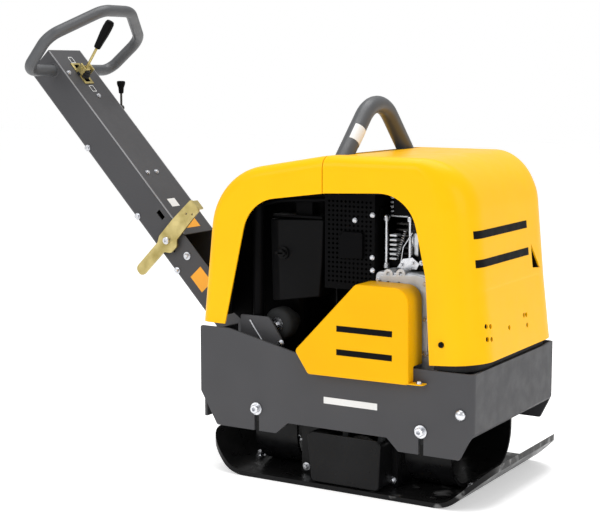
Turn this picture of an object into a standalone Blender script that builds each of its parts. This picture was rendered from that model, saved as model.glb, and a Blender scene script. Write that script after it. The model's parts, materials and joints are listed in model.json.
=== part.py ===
"""Reversible plate compactor: a vibrating base plate with an exciter, carrying on rubber mounts a
chassis with an engine under a sheet hood, and a drawbar with its levers.

Metres, +Z up, +X forward, +Y the machine's left. The origin is the centre of the sole on the ground.
"""
from math import asin, cos, pi, radians, sin, tan

import bmesh
import bpy
from mathutils import Matrix, Vector

# ---------------------------------------------------------------- driving dimensions
FIT_GAP = 0.0003            # between pieces that touch
RUNNING_GAP = 0.0005        # round a pin or a shaft that turns

PLATE_WIDTH = 0.450
PLATE_FLAT = 0.230          # half length of the flat sole
PLATE_TIP = 0.340           # half length over the upturned ends
PLATE_BEND = 0.080
PLATE_RISE = radians(42)
PLATE_CORNER = 0.075
PLATE_THICK = 0.010

MOUNT_X = 0.199             # rubber mounts, fore and aft
MOUNT_Z = 0.154
MOUNT_RADIUS = 0.029
CRADLE_HALF = 0.160         # outer half width of the bent cradles
CRADLE_BEND = 0.080
CRADLE_TOP = 0.186
CRADLE_THICK = 0.008

SIDE_Y = 0.220              # outer face of the side plates
SIDE_THICK = 0.006
SIDE_IN = SIDE_Y - SIDE_THICK
PANEL_X = 0.314             # outer face of the front panel
PANEL_BEND = 0.014
PANEL_SEAM = 0.262          # where the front panel's returns meet the side plates
PANEL_LOW = 0.158
FRAME_TOP = 0.283
REAR_X = -0.346
REAR_TOP = 0.325
DECK_Z = 0.215
DECK_THICK = 0.006
DECK_TOP = DECK_Z + DECK_THICK + FIT_GAP

HOOD_HALF = 0.215
HOOD_SKIN = 0.0035
HOOD_TOP = 0.710
HOOD_SEAM = -0.038
HOOD_EDGE = 0.026           # rounding of the roof's edges
HOOD_FRONT_EDGE = 0.070     # rounding of the front's upright corners
POLE_NOTCH = 0.086          # half width of the notches for the drawbar and its bolt heads

RAIL_Y = 0.165
RAIL_Z = 0.645
RAIL_RADIUS = 0.0125
ARCH_X = -0.025
ARCH_RADIUS = 0.019

PIVOT = Vector((-0.295, 0.0, 0.222))
POLE_LEAN = radians(43.1)   # backwards from upright
POLE_HALF = 0.060
POLE_BACK = -0.0415         # lower face, measured from the pivot's plane
POLE_FRONT = 0.0385
POLE_END = 0.937
POLE_FOOT = -0.030
POLE_WALL = 0.004
COVER_START = 0.345
COVER_THICK = 0.003
PIN_RADIUS = 0.010

LOOP_UP = 0.890             # handle loop along the drawbar
LOOP_RADIUS = 0.0145
LOOP_BASE = 0.019

SHAFT_X = 0.048             # exciter shafts, fore and aft of the centre
SHAFT_Z = 0.075
SHAFT_RADIUS = 0.015
WEIGHT_RADIUS = 0.046
BORE_RADIUS = 0.053
TEETH = 24
GEAR_Y = 0.105
GEAR_WIDE = 0.020

BELT_Y = -0.200
CLUTCH = (0.100, 0.360)     # x and z of the crankshaft
CLUTCH_RADIUS = 0.055
DRIVEN_RADIUS = 0.045
BELT_TOP_HALF = 0.0085
BELT_LOW_HALF = 0.0056
BELT_DEEP = 0.011

FINISHES = {                # colour, metallic, roughness
    "base_black": ((0.012, 0.012, 0.013), 0.1, 0.45),
    "frame_grey": ((0.095, 0.095, 0.100), 0.2, 0.45),
    "hood_yellow": ((1.0, 0.55, 0.004), 0.0, 0.35),
    "tube_grey": ((0.14, 0.145, 0.15), 0.3, 0.45),
    "engine_black": ((0.010, 0.010, 0.011), 0.1, 0.5),
    "cast_aluminium": ((0.55, 0.56, 0.57), 0.9, 0.45),
    "zinc": ((0.72, 0.73, 0.75), 1.0, 0.3),
    "yellow_zinc": ((0.50, 0.40, 0.14), 0.9, 0.4),
    "steel": ((0.45, 0.45, 0.46), 1.0, 0.35),
    "cast_iron": ((0.07, 0.07, 0.075), 0.6, 0.6),
    "rubber": ((0.014, 0.014, 0.014), 0.0, 0.85),
    "black_plastic": ((0.013, 0.013, 0.014), 0.0, 0.5),
}


# ---------------------------------------------------------------- scene and helpers
def clear_scene():
    for item in list(bpy.data.objects):
        bpy.data.objects.remove(item)


def collection(name):
    group = bpy.data.collections.new(name)
    bpy.context.scene.collection.children.link(group)
    return group


clear_scene()
PARTS = collection("plate_compactor")
CUTTERS = collection("cutters")


def material(part_name, finish):
    colour, metallic, roughness = FINISHES[finish]
    made = bpy.data.materials.new(part_name + "_" + finish)
    made.use_nodes = True
    shader = made.node_tree.nodes["Principled BSDF"]
    shader.inputs["Base Color"].default_value = (*colour, 1.0)
    shader.inputs["Metallic"].default_value = metallic
    shader.inputs["Roughness"].default_value = roughness
    return made


def new_mesh(name, bm):
    bmesh.ops.recalc_face_normals(bm, faces=bm.faces)
    mesh = bpy.data.meshes.new(name)
    bm.to_mesh(mesh)
    bm.free()
    return mesh


def add_part(name, mesh, finish, origin=(0, 0, 0), parent=None, smooth=True):
    """Link a mesh given in its parent's axes as one named part, its origin on its own axis."""
    mesh.transform(Matrix.Translation(-Vector(origin)))
    part = bpy.data.objects.new(name, mesh)
    part.location = origin
    part.parent = parent
    mesh.materials.append(material(name, finish))
    if smooth:
        mesh.shade_smooth()
        mesh.set_sharp_from_angle(angle=radians(35))
    PARTS.objects.link(part)
    return part


def baked(part):
    """Replace a part's mesh with its evaluated one."""
    shape = part.evaluated_get(bpy.context.evaluated_depsgraph_get())
    mesh = bpy.data.meshes.new_from_object(shape)
    part.modifiers.clear()
    part.data = mesh
    return part


def boolean(part, mesh, operation="DIFFERENCE"):
    """Cut a part with a mesh in the same axes, or join or intersect them."""
    tool = bpy.data.objects.new(part.name + "_tool", mesh)
    tool.hide_render = True
    tool.display_type = "WIRE"
    tool.parent = part.parent
    CUTTERS.objects.link(tool)
    modifier = part.modifiers.new("shape", "BOOLEAN")
    modifier.object = tool
    modifier.operation = operation
    return part


def box_mesh(low, high, round_by=0.0, segments=2):
    low, high = Vector(low), Vector(high)
    bm = bmesh.new()
    bmesh.ops.create_cube(bm, size=1.0)
    bmesh.ops.scale(bm, vec=high - low, verts=bm.verts)
    bmesh.ops.translate(bm, vec=(low + high) / 2, verts=bm.verts)
    if round_by:
        bmesh.ops.bevel(bm, geom=list(bm.edges), offset=round_by, segments=segments, affect="EDGES",
                        profile=0.5)
    return new_mesh("box", bm)


AXIS_TURN = {
    "X": Matrix.Rotation(pi / 2, 4, "Y"),
    "Y": Matrix.Rotation(-pi / 2, 4, "X"),
    "Z": Matrix.Identity(4),
}


def rod_mesh(centre, axis, radius, low, high, sides=24, top_radius=None):
    """A cylinder or cone along an axis through centre, from low to high along that axis."""
    bm = bmesh.new()
    tip = radius if top_radius is None else top_radius
    bmesh.ops.create_cone(bm, cap_ends=True, segments=sides, radius1=radius, radius2=tip,
                          depth=high - low)
    bmesh.ops.translate(bm, vec=(0, 0, (low + high) / 2), verts=bm.verts)
    bmesh.ops.transform(bm, matrix=Matrix.Translation(centre) @ AXIS_TURN[axis], verts=bm.verts)
    return new_mesh("rod", bm)


def arc(centre, radius, start, end, steps):
    """Points on a circle from one angle to another, both ends included."""
    turns = [start + (end - start) * step / steps for step in range(steps + 1)]
    return [(centre[0] + radius * cos(turn), centre[1] + radius * sin(turn)) for turn in turns]


def filleted(corners, steps=5, closed=True):
    """Turn (u, v, radius) corners into points, each corner rounded by its radius."""
    points = []
    count = len(corners)
    for index, (u, v, radius) in enumerate(corners):
        here = Vector((u, v))
        if radius == 0 or (not closed and index in (0, count - 1)):
            points.append((u, v))
            continue
        before = Vector(corners[index - 1][:2]) - here
        after = Vector(corners[(index + 1) % count][:2]) - here
        half = before.angle(after) / 2
        reach = radius / tan(half)
        start = here + before.normalized() * reach
        end = here + after.normalized() * reach
        centre = here + (before.normalized() + after.normalized()).normalized() * radius / sin(half)
        turn = (start - centre).angle_signed(end - centre)
        for step in range(steps + 1):
            spoke = (start - centre).copy()
            spoke.rotate(Matrix.Rotation(-turn * step / steps, 2))
            points.append(tuple(centre + spoke))
    return points


PLANES = {                  # outline u, v and depth w to x, y, z
    "XZ": lambda u, v, w: (u, w, v),
    "YZ": lambda u, v, w: (w, u, v),
    "XY": lambda u, v, w: (u, v, w),
}


def prism_mesh(outline, plane, low, high):
    """A flat outline in a plane, carried straight from low to high across it."""
    place = PLANES[plane]
    bm = bmesh.new()
    base = [bm.verts.new(place(u, v, low)) for u, v in outline]
    face = bm.faces.new(base)
    moved = bmesh.ops.extrude_face_region(bm, geom=[face])["geom"]
    lifted = [item for item in moved if isinstance(item, bmesh.types.BMVert)]
    bmesh.ops.translate(bm, vec=Vector(place(0, 0, high - low)), verts=lifted)
    return new_mesh("prism", bm)


def strip_mesh(path, plane, low, high):
    """An open sheet that follows a path in a plane, for Solidify."""
    place = PLANES[plane]
    bm = bmesh.new()
    rows = [[bm.verts.new(place(u, v, w)) for w in (low, high)] for u, v in path]
    for one, two in zip(rows, rows[1:]):
        bm.faces.new((one[0], one[1], two[1], two[0]))
    mesh = bpy.data.meshes.new("strip")
    bm.to_mesh(mesh)
    bm.free()
    return mesh


def bent_plate(name, path, plane, low, high, thickness, finish):
    """A plate bent along a path; a positive thickness grows to the face normal's side."""
    part = add_part(name, strip_mesh(path, plane, low, high), finish)
    solid = part.modifiers.new("thickness", "SOLIDIFY")
    solid.thickness = abs(thickness)
    solid.offset = 1 if thickness > 0 else -1
    solid.use_even_offset = True
    return baked(part)


def turned_mesh(profile, centre, axis, steps=24):
    """A closed profile of (radius, height) points, spun about an axis through centre."""
    bm = bmesh.new()
    ring = [bm.verts.new((radius, 0, height)) for radius, height in profile]
    edges = [bm.edges.new((ring[i], ring[(i + 1) % len(ring)])) for i in range(len(ring))]
    edges = [edge for edge in edges if any(vert.co.x > 0 for vert in edge.verts)]
    bmesh.ops.spin(bm, geom=edges, axis=(0, 0, 1), cent=(0, 0, 0), angle=2 * pi, steps=steps)
    bmesh.ops.remove_doubles(bm, verts=bm.verts, dist=1e-5)
    for edge in [edge for edge in bm.edges if not edge.link_faces]:
        bm.edges.remove(edge)
    bmesh.ops.transform(bm, matrix=Matrix.Translation(centre) @ AXIS_TURN[axis], verts=bm.verts)
    return new_mesh("turned", bm)


def tube_mesh(points, radius, cyclic=False, resolution=2):
    """A round tube through points, as a plain welded mesh."""
    curve = bpy.data.curves.new("tube", "CURVE")
    curve.dimensions = "3D"
    spline = curve.splines.new("POLY")
    spline.points.add(len(points) - 1)
    for place, point in zip(spline.points, points):
        place.co = (*point, 1)
    spline.use_cyclic_u = cyclic
    curve.bevel_depth = radius
    curve.bevel_resolution = resolution
    curve.use_fill_caps = True
    holder = bpy.data.objects.new("tube", curve)
    CUTTERS.objects.link(holder)
    shape = holder.evaluated_get(bpy.context.evaluated_depsgraph_get())
    mesh = bpy.data.meshes.new_from_object(shape)
    bpy.data.objects.remove(holder)
    bm = bmesh.new()
    bm.from_mesh(mesh)
    bmesh.ops.remove_doubles(bm, verts=bm.verts, dist=1e-6)
    return new_mesh("tube", bm)


def loop_sweep_mesh(path, section):
    """A section of (out, across) points carried round a closed path in XZ."""
    bm = bmesh.new()
    rings = []
    count = len(path)
    for index, (x, z) in enumerate(path):
        ahead = Vector(path[(index + 1) % count]) - Vector(path[index - 1])
        out = Vector((ahead.y, -ahead.x)).normalized()
        rings.append([bm.verts.new((x + out.x * o, BELT_Y + a, z + out.y * o)) for o, a in section])
    for one, two in zip(rings, rings[1:] + rings[:1]):
        for k in range(len(section)):
            j = (k + 1) % len(section)
            bm.faces.new((one[k], one[j], two[j], two[k]))
    return new_mesh("belt", bm)


# ---------------------------------------------------------------- vibrating base
def base_plate():
    bend_x = PLATE_FLAT + PLATE_BEND * sin(PLATE_RISE)
    bend_z = PLATE_BEND * (1 - cos(PLATE_RISE))
    tip_z = bend_z + (PLATE_TIP - bend_x) * tan(PLATE_RISE)
    front = arc((PLATE_FLAT, PLATE_BEND), PLATE_BEND, -pi / 2, -pi / 2 + PLATE_RISE, 4)
    front.append((PLATE_TIP + 0.02, tip_z + 0.02 * tan(PLATE_RISE)))
    path = [(-x, z) for x, z in reversed(front)] + front
    plate = bent_plate("base_plate", path, "XZ", -PLATE_WIDTH / 2, PLATE_WIDTH / 2, -PLATE_THICK,
                       "base_black")
    half = PLATE_WIDTH / 2
    tip = PLATE_TIP
    corners = [(tip, half, PLATE_CORNER), (-tip, half, PLATE_CORNER),
               (-tip, -half, PLATE_CORNER), (tip, -half, PLATE_CORNER)]
    boolean(plate, prism_mesh(filleted(corners, 6), "XY", -0.1, 0.3), "INTERSECT")
    return baked(plate)


def cradle(name, low_x, high_x):
    """Bent U of thick plate that stands on the base plate and holds two rubber mounts."""
    foot = PLATE_THICK + 0.001
    half = CRADLE_HALF
    path = filleted([(-half, CRADLE_TOP, 0), (-half, foot, CRADLE_BEND), (half, foot, CRADLE_BEND),
                     (half, CRADLE_TOP, 0)], 6, closed=False)
    bent_plate(name, path, "YZ", low_x, high_x, CRADLE_THICK, "base_black")


def rubber_mount(name, x, side):
    """Bonded rubber block between a cradle and a side plate, its outer end bored for the bolt."""
    inner, outer, bore = CRADLE_HALF + FIT_GAP, SIDE_IN - FIT_GAP, 0.0062
    waist = MOUNT_RADIUS - 0.003
    middle = (inner + outer) / 2
    profile = [(0, inner), (MOUNT_RADIUS, inner), (waist, middle), (MOUNT_RADIUS, outer),
               (bore, outer), (bore, outer - 0.020), (0, outer - 0.020)]
    profile = [(radius, height * side) for radius, height in profile]
    add_part(name, turned_mesh(profile, (x, 0, MOUNT_Z), "Y", 20), "rubber")


HOUSING_X, HOUSING_Y, HOUSING_Z = 0.118, 0.150, 0.140
END_THICK = 0.012
POCKET_RADIUS = SHAFT_RADIUS + RUNNING_GAP


def exciter_housing():
    low = PLATE_THICK + FIT_GAP
    housing = add_part("exciter_housing", box_mesh((-HOUSING_X, -HOUSING_Y, low),
                       (HOUSING_X, HOUSING_Y, HOUSING_Z), 0.008), "base_black")
    for x in (-SHAFT_X, SHAFT_X):
        boolean(housing, rod_mesh((x, 0, SHAFT_Z), "Y", BORE_RADIUS, -0.2, 0.2, 32))
    baked(housing)


def exciter_cover(name, side, through_x):
    """End cover with two bearing pockets; through_x is a shaft that runs out through it."""
    inner = HOUSING_Y + FIT_GAP
    ends = sorted((side * inner, side * (inner + END_THICK)))
    low = PLATE_THICK + FIT_GAP
    cover = add_part(name, box_mesh((-HOUSING_X, ends[0], low), (HOUSING_X, ends[1], HOUSING_Z)),
                     "base_black")
    for x in (-SHAFT_X, SHAFT_X):
        depth = 0.05 if x == through_x else inner + 0.010 - 0.14
        hole = sorted((side * 0.14, side * (0.14 + depth)))
        boolean(cover, rod_mesh((x, 0, SHAFT_Z), "Y", POCKET_RADIUS, *hole))
    baked(cover)


def gear(name, x, offset, parent):
    """Spur gear whose teeth are flat-flanked, with running backlash."""
    module = 2 * SHAFT_X / TEETH
    pitch = SHAFT_X
    steps = [(pitch - 1.15 * module, 0.34), (pitch + 0.72 * module, 0.10)]
    outline = []
    for tooth in range(TEETH):
        middle = (tooth + offset) * 2 * pi / TEETH
        flank = [(radius, share * 2 * pi / TEETH) for radius, share in steps]
        points = [(radius, middle - half) for radius, half in flank]
        points += [(radius, middle + half) for radius, half in reversed(flank)]
        outline += [(x + radius * cos(turn), SHAFT_Z + radius * sin(turn)) for radius, turn in points]
    wheel = add_part(name, prism_mesh(outline, "XZ", GEAR_Y, GEAR_Y + GEAR_WIDE), "steel",
                     (x, 0, SHAFT_Z), parent)
    boolean(wheel, rod_mesh((x, 0, SHAFT_Z), "Y", SHAFT_RADIUS + FIT_GAP, 0, 0.2))
    baked(wheel)


def eccentric_shaft(name, x, start):
    """Shaft with a half-round weight hanging below its axis."""
    end = HOUSING_Y + FIT_GAP + 0.0095
    shaft = add_part(name, rod_mesh((x, 0, SHAFT_Z), "Y", SHAFT_RADIUS, start, end), "steel",
                     (x, 0, SHAFT_Z))
    half_round = arc((x, SHAFT_Z), WEIGHT_RADIUS, pi, 2 * pi, 12)
    boolean(shaft, prism_mesh(half_round, "XZ", -0.115, 0.095), "UNION")
    baked(shaft)


def pulley_profile(rim, hub, bore):
    """Closed half section of a V pulley, centred on height 0."""
    groove = rim - BELT_DEEP - 0.002
    lip, floor, half = BELT_TOP_HALF + 0.0008, BELT_LOW_HALF + 0.0004, 0.0135
    return [(bore, -half), (rim, -half), (rim, -lip), (groove, -floor), (groove, floor), (rim, lip),
            (rim, half), (hub, half), (hub, half + 0.004), (bore, half + 0.004)]


def exciter_pulley():
    profile = pulley_profile(DRIVEN_RADIUS, 0.024, SHAFT_RADIUS + FIT_GAP)
    place = (SHAFT_X, BELT_Y, SHAFT_Z)
    add_part("exciter_pulley", turned_mesh(profile, place, "Y", 28), "cast_iron", place)


def lower_belt_cover():
    """Open-topped trough round the exciter pulley, closed towards the outside."""
    wall, outer, inner = 0.003, -0.222, -HOUSING_Y - FIT_GAP - END_THICK - FIT_GAP
    low, high = PLATE_THICK + 0.002, 0.121
    outline = filleted([(-0.062, low, 0), (0.103, low, 0), (0.108, high, 0.012),
                        (-0.074, high, 0.012)], 3)
    cover = add_part("lower_belt_cover", prism_mesh(outline, "XZ", outer, inner), "base_black")
    cavity = [(-0.059, low + wall), (0.100, low + wall), (0.104, 0.105), (-0.071, 0.105)]
    boolean(cover, prism_mesh(cavity, "XZ", outer + wall, 0))
    boolean(cover, box_mesh((-0.020, outer + wall, 0.08), (0.103, 0, 0.2)))
    baked(cover)


# ---------------------------------------------------------------- belt drive
def belt_path():
    """Pitch line round both pulleys, through the arcs and the two straight runs."""
    low, high = Vector((SHAFT_X, SHAFT_Z)), Vector(CLUTCH)
    line = high - low
    lean = Vector((1, 0)).angle_signed(line) * -1
    spread = asin((CLUTCH_RADIUS - DRIVEN_RADIUS) / line.length)
    top = arc(high, CLUTCH_RADIUS, lean - pi / 2 - spread, lean + pi / 2 + spread, 16)
    bottom = arc(low, DRIVEN_RADIUS, lean + pi / 2 + spread, lean + 3 * pi / 2 - spread, 14)
    return top + bottom


def drive_belt():
    top, low = -0.0005, -0.0005 - BELT_DEEP
    section = [(top, -BELT_TOP_HALF), (top, BELT_TOP_HALF), (low, BELT_LOW_HALF),
               (low, -BELT_LOW_HALF)]
    add_part("drive_belt", loop_sweep_mesh(belt_path(), section), "rubber")


def clutch_pulley():
    """Centrifugal clutch drum with its pulley groove and the stub of the crankshaft."""
    rim, half, groove = CLUTCH_RADIUS, 0.0135, CLUTCH_RADIUS - BELT_DEEP - 0.002
    lip, floor = BELT_TOP_HALF + 0.0008, BELT_LOW_HALF + 0.0004
    profile = [(0, -half - 0.006), (0.018, -half - 0.006), (0.018, -half), (rim, -half), (rim, -lip),
               (groove, -floor), (groove, floor), (rim, lip), (rim, half), (0.012, half),
               (0.012, half + 0.011), (0, half + 0.011)]
    place = (CLUTCH[0], BELT_Y, CLUTCH[1])
    add_part("clutch_pulley", turned_mesh(profile, place, "Y", 28), "cast_iron", place)


# ---------------------------------------------------------------- chassis
def side_plate(name, side):
    """Flat side of the chassis, notched below, with two open slots for the mount bolts."""
    seam = PANEL_SEAM - FIT_GAP
    low = PANEL_LOW - FIT_GAP
    outline = [(0.285, 0.105), (0.147, 0.105), (0.120, 0.131), (-0.120, 0.131), (-0.150, 0.105),
               (-0.303, 0.105), (REAR_X, 0.178), (REAR_X, REAR_TOP), (-0.270, REAR_TOP),
               (-0.100, 0.287), (-0.060, FRAME_TOP), (seam, FRAME_TOP), (seam, low), (0.311, low)]
    ends = sorted((side * SIDE_IN, side * SIDE_Y))
    plate = add_part(name, prism_mesh(outline, "XZ", *ends), "frame_grey")
    for x in (-MOUNT_X, MOUNT_X):
        slot = arc((x, MOUNT_Z), 0.006, pi, 0, 8) + [(x + 0.006, 0.09), (x - 0.006, 0.09)]
        boolean(plate, prism_mesh(slot, "XZ", ends[0] - 0.01, ends[1] + 0.01))
    baked(plate)


CORNER_BOLT = (0.287, 0.199)


def front_panel():
    """Front cover plate with rounded returns down both sides."""
    path = filleted([(PANEL_SEAM, -SIDE_Y, 0), (PANEL_X, -SIDE_Y, PANEL_BEND),
                     (PANEL_X, SIDE_Y, PANEL_BEND), (PANEL_SEAM, SIDE_Y, 0)], 4, closed=False)
    panel = bent_plate("front_panel", path, "XY", PANEL_LOW, FRAME_TOP, SIDE_THICK, "frame_grey")
    x, z = CORNER_BOLT
    boolean(panel, rod_mesh((x, 0, z), "Y", 0.0056, -0.3, 0.3))
    baked(panel)


def rear_panel():
    """Rear plate between the sides, notched for the drawbar."""
    half = SIDE_IN - FIT_GAP
    notch = [(POLE_NOTCH, 0.31, 0), (POLE_NOTCH, 0.188, 0.012), (-POLE_NOTCH, 0.188, 0.012),
             (-POLE_NOTCH, 0.31, 0)]
    outline = filleted([(-half, 0.31, 0), (-half, 0.120, 0), (half, 0.120, 0), (half, 0.31, 0)]
                       + notch, 3)
    low = REAR_X + 0.006
    add_part("rear_panel", prism_mesh(outline, "YZ", low, low + SIDE_THICK), "frame_grey")


def engine_deck():
    """Plate that carries the engine, notched for the drawbar's foot and for the belt."""
    half = SIDE_IN - FIT_GAP
    rear, front = REAR_X + 0.006 + SIDE_THICK + FIT_GAP, PANEL_X - SIDE_THICK - 0.012
    deck = add_part("engine_deck", box_mesh((rear, -half, DECK_Z), (front, half, DECK_Z + DECK_THICK)),
                    "engine_black")
    boolean(deck, box_mesh((-0.4, -POLE_NOTCH, 0.2), (-0.235, POLE_NOTCH, 0.24)))
    boolean(deck, box_mesh((-0.010, -0.3, 0.2), (0.165, -0.179, 0.24)))
    baked(deck)


EAR_Y, EAR_THICK = 0.0665, 0.008
EAR_HOLE = PIN_RADIUS + RUNNING_GAP


def pivot_ear(name, side):
    """Upright lug behind the deck that carries one end of the drawbar's pin."""
    x, z = PIVOT.x, PIVOT.z
    rear = REAR_X + 0.006 + SIDE_THICK + FIT_GAP
    outline = [(rear, 0.150), (-0.240, 0.150)] + arc((x, z), 0.024, 0, pi / 2, 4) + [(rear, 0.246)]
    ends = sorted((side * EAR_Y, side * (EAR_Y + EAR_THICK)))
    ear = add_part(name, prism_mesh(outline, "XZ", *ends), "frame_grey")
    boolean(ear, rod_mesh((x, 0, z), "Y", EAR_HOLE, -0.1, 0.1))
    baked(ear)


def drawbar_pin():
    outer = EAR_Y + EAR_THICK + FIT_GAP
    profile = [(0, -outer - 0.006), (0.0165, -outer - 0.006), (0.0165, -outer), (PIN_RADIUS, -outer),
               (PIN_RADIUS, outer), (0.0165, outer), (0.0165, outer + 0.006), (0, outer + 0.006)]
    add_part("drawbar_pin", turned_mesh(profile, PIVOT, "Y"), "zinc")


def slot_bolt(name, x, side):
    """Socket-head bolt and washer that clamp a side plate to a rubber mount."""
    washer = SIDE_Y + FIT_GAP
    profile = [(0, washer - 0.018), (0.0054, washer - 0.018), (0.0054, washer), (0.014, washer),
               (0.014, washer + 0.003), (0.009, washer + 0.003), (0.009, washer + 0.012),
               (0.005, washer + 0.012), (0.005, washer + 0.006), (0, washer + 0.006)]
    profile = [(radius, height * side) for radius, height in profile]
    add_part(name, turned_mesh(profile, (x, 0, MOUNT_Z), "Y", 16), "zinc")


def corner_bolt(name, side):
    """Domed bolt in the front panel's return."""
    seat = SIDE_Y + FIT_GAP
    dome = [(0.0115 * cos(turn), seat + 0.001 + 0.0075 * sin(turn)) for turn in (0, 0.5, 1.0)]
    profile = [(0, SIDE_IN - 0.008), (0.005, SIDE_IN - 0.008), (0.005, seat), (0.0115, seat)]
    profile += dome + [(0, seat + 0.0085)]
    profile = [(radius, height * side) for radius, height in profile]
    x, z = CORNER_BOLT
    add_part(name, turned_mesh(profile, (x, 0, z), "Y", 16), "zinc")


# ---------------------------------------------------------------- hood and lifting gear
HOOD_OUTLINE = [            # x, z and rounding of the hood's side view
    (0.325, 0.300, 0), (0.308, 0.440, 0.6), (0.282, HOOD_TOP, 0.115), (-0.030, HOOD_TOP, 0.3),
    (-0.315, 0.662, 0.150), (-0.350, 0.333, 0), (-0.250, 0.333, 0), (0.200, 0.291, 0),
]
SIDE_OPENING = [            # x, z and rounding of the opening in each side of the hood
    (0.216, 0.250, 0), (0.203, 0.470, 0.2), (0.165, 0.638, 0.085), (0.087, 0.636, 0),
    (-0.033, 0.631, 0.2), (-0.221, 0.606, 0.09), (-0.292, 0.300, 0), (-0.292, 0.250, 0),
]


def hood_skin_mesh():
    """The open skin: all along the side view a quarter round joins the two sides to the roof."""
    path = [Vector(point) for point in filleted(HOOD_OUTLINE, 6)[:-2]]
    bottom = [Vector(corner[:2]) for corner in HOOD_OUTLINE[-2:]]
    bm = bmesh.new()
    rows = []
    for index, point in enumerate(path):
        if index == 0:
            inward = bottom[1] - point
        elif index == len(path) - 1:
            inward = bottom[0] - point
        else:
            along = path[index + 1] - path[index - 1]
            inward = Vector((-along.y, along.x))
        inward.normalize()
        front = min(max((point.x - 0.18) / 0.10, 0), 1)
        radius = HOOD_EDGE + (HOOD_FRONT_EDGE - HOOD_EDGE) * front
        row = []
        for side in (1, -1):
            for turn in range(0, 91, 18)[::side]:
                x, z = point + inward * radius * (1 - sin(radians(turn)))
                y = side * (HOOD_HALF - radius * (1 - cos(radians(turn))))
                row.append(bm.verts.new((x, y, z)))
        rows.append(row)
    for one, two in zip(rows, rows[1:]):
        for k in range(len(one) - 1):
            bm.faces.new((one[k], two[k], two[k + 1], one[k + 1]))
    for column, side in ((0, 1), (-1, -1)):
        ring = [row[column] for row in rows]
        ring += [bm.verts.new((x, side * HOOD_HALF, z)) for x, z in bottom]
        bm.faces.new(ring[::-side])
    mesh = bpy.data.meshes.new("hood_skin")
    bm.to_mesh(mesh)
    bm.free()
    return mesh


def hood_shell(name):
    """The skin, thickened inwards."""
    hood = add_part(name, hood_skin_mesh(), "hood_yellow")
    skin = hood.modifiers.new("skin", "SOLIDIFY")
    skin.thickness = HOOD_SKIN
    skin.offset = -1
    skin.use_even_offset = True
    return baked(hood)


def hood_half(name, low_x, high_x):
    """One half of the hood; the metal between low_x and high_x is cut away."""
    hood = hood_shell(name)
    boolean(hood, prism_mesh(filleted(SIDE_OPENING, 6), "XZ", -0.3, 0.3))
    boolean(hood, box_mesh((low_x, -0.3, 0.2), (high_x, 0.3, 0.8)))
    slot = ARCH_RADIUS + 0.006
    boolean(hood, box_mesh((ARCH_X - slot, -0.175, 0.68), (ARCH_X + slot, 0.175, 0.75)))
    if high_x > 0:
        notch = [(-POLE_NOTCH, 0.25, 0), (POLE_NOTCH, 0.25, 0), (POLE_NOTCH, 0.663, 0.03),
                 (-POLE_NOTCH, 0.663, 0.03)]
        boolean(hood, prism_mesh(filleted(notch, 4), "YZ", -0.45, -0.235))
    baked(hood)


def hood_seal():
    """Rubber strip on the frame's front edge that the hood closes over."""
    front, half = 0.307, 0.2095
    path = filleted([(0.222, -half, 0), (front, -half, 0.052), (front, half, 0.052),
                     (0.222, half, 0)], 5, closed=False)
    bent_plate("hood_seal", path, "XY", FRAME_TOP + FIT_GAP, 0.306, 0.007, "rubber")


def lifting_arch():
    foot = RAIL_Z + RAIL_RADIUS + FIT_GAP
    shoulder = 0.683
    apex = shoulder + RAIL_Y
    path = filleted([(-RAIL_Y, foot, 0), (-RAIL_Y, shoulder, 0.03), (0, apex, 0.089),
                     (RAIL_Y, shoulder, 0.03), (RAIL_Y, foot, 0)], 6, closed=False)
    points = [(ARCH_X, y, z) for y, z in path]
    add_part("lifting_arch", tube_mesh(points, ARCH_RADIUS, resolution=3), "tube_grey")


def lifting_frame(name, side):
    """Bent tube from the deck up, along under the roof and down, that takes the lifting load."""
    rear, front = -0.228, 0.228
    path = filleted([(rear, DECK_TOP, 0), (rear, RAIL_Z, 0.045), (front, RAIL_Z, 0.045),
                     (front, DECK_TOP, 0)], 5, closed=False)
    points = [(x, side * RAIL_Y, z) for x, z in path]
    add_part(name, tube_mesh(points, RAIL_RADIUS), "engine_black")


GUARD_OUT, GUARD_IN, GUARD_SKIN = -0.245, -0.180, 0.003


def belt_guard():
    """Pressed cover over the clutch pulley, open towards the engine."""
    corners = [(0.181, 0.252, 0.004), (0.178, 0.450, 0.030), (0.057, 0.450, 0.004),
               (-0.090, 0.298, 0.004), (-0.056, 0.250, 0.004)]
    inner = [(0.178, 0.255, 0.002), (0.175, 0.447, 0.027), (0.0583, 0.447, 0.002),
             (-0.0862, 0.2978, 0.002), (-0.0544, 0.253, 0.002)]
    guard = add_part("belt_guard", prism_mesh(filleted(corners, 4), "XZ", GUARD_OUT, GUARD_IN),
                     "hood_yellow")
    boolean(guard, prism_mesh(filleted(inner, 4), "XZ", GUARD_OUT + GUARD_SKIN, 0))
    boolean(guard, box_mesh((-0.2, -SIDE_Y - 0.0006, 0.2), (0.3, 0, 0.2875)))
    baked(guard)


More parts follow.
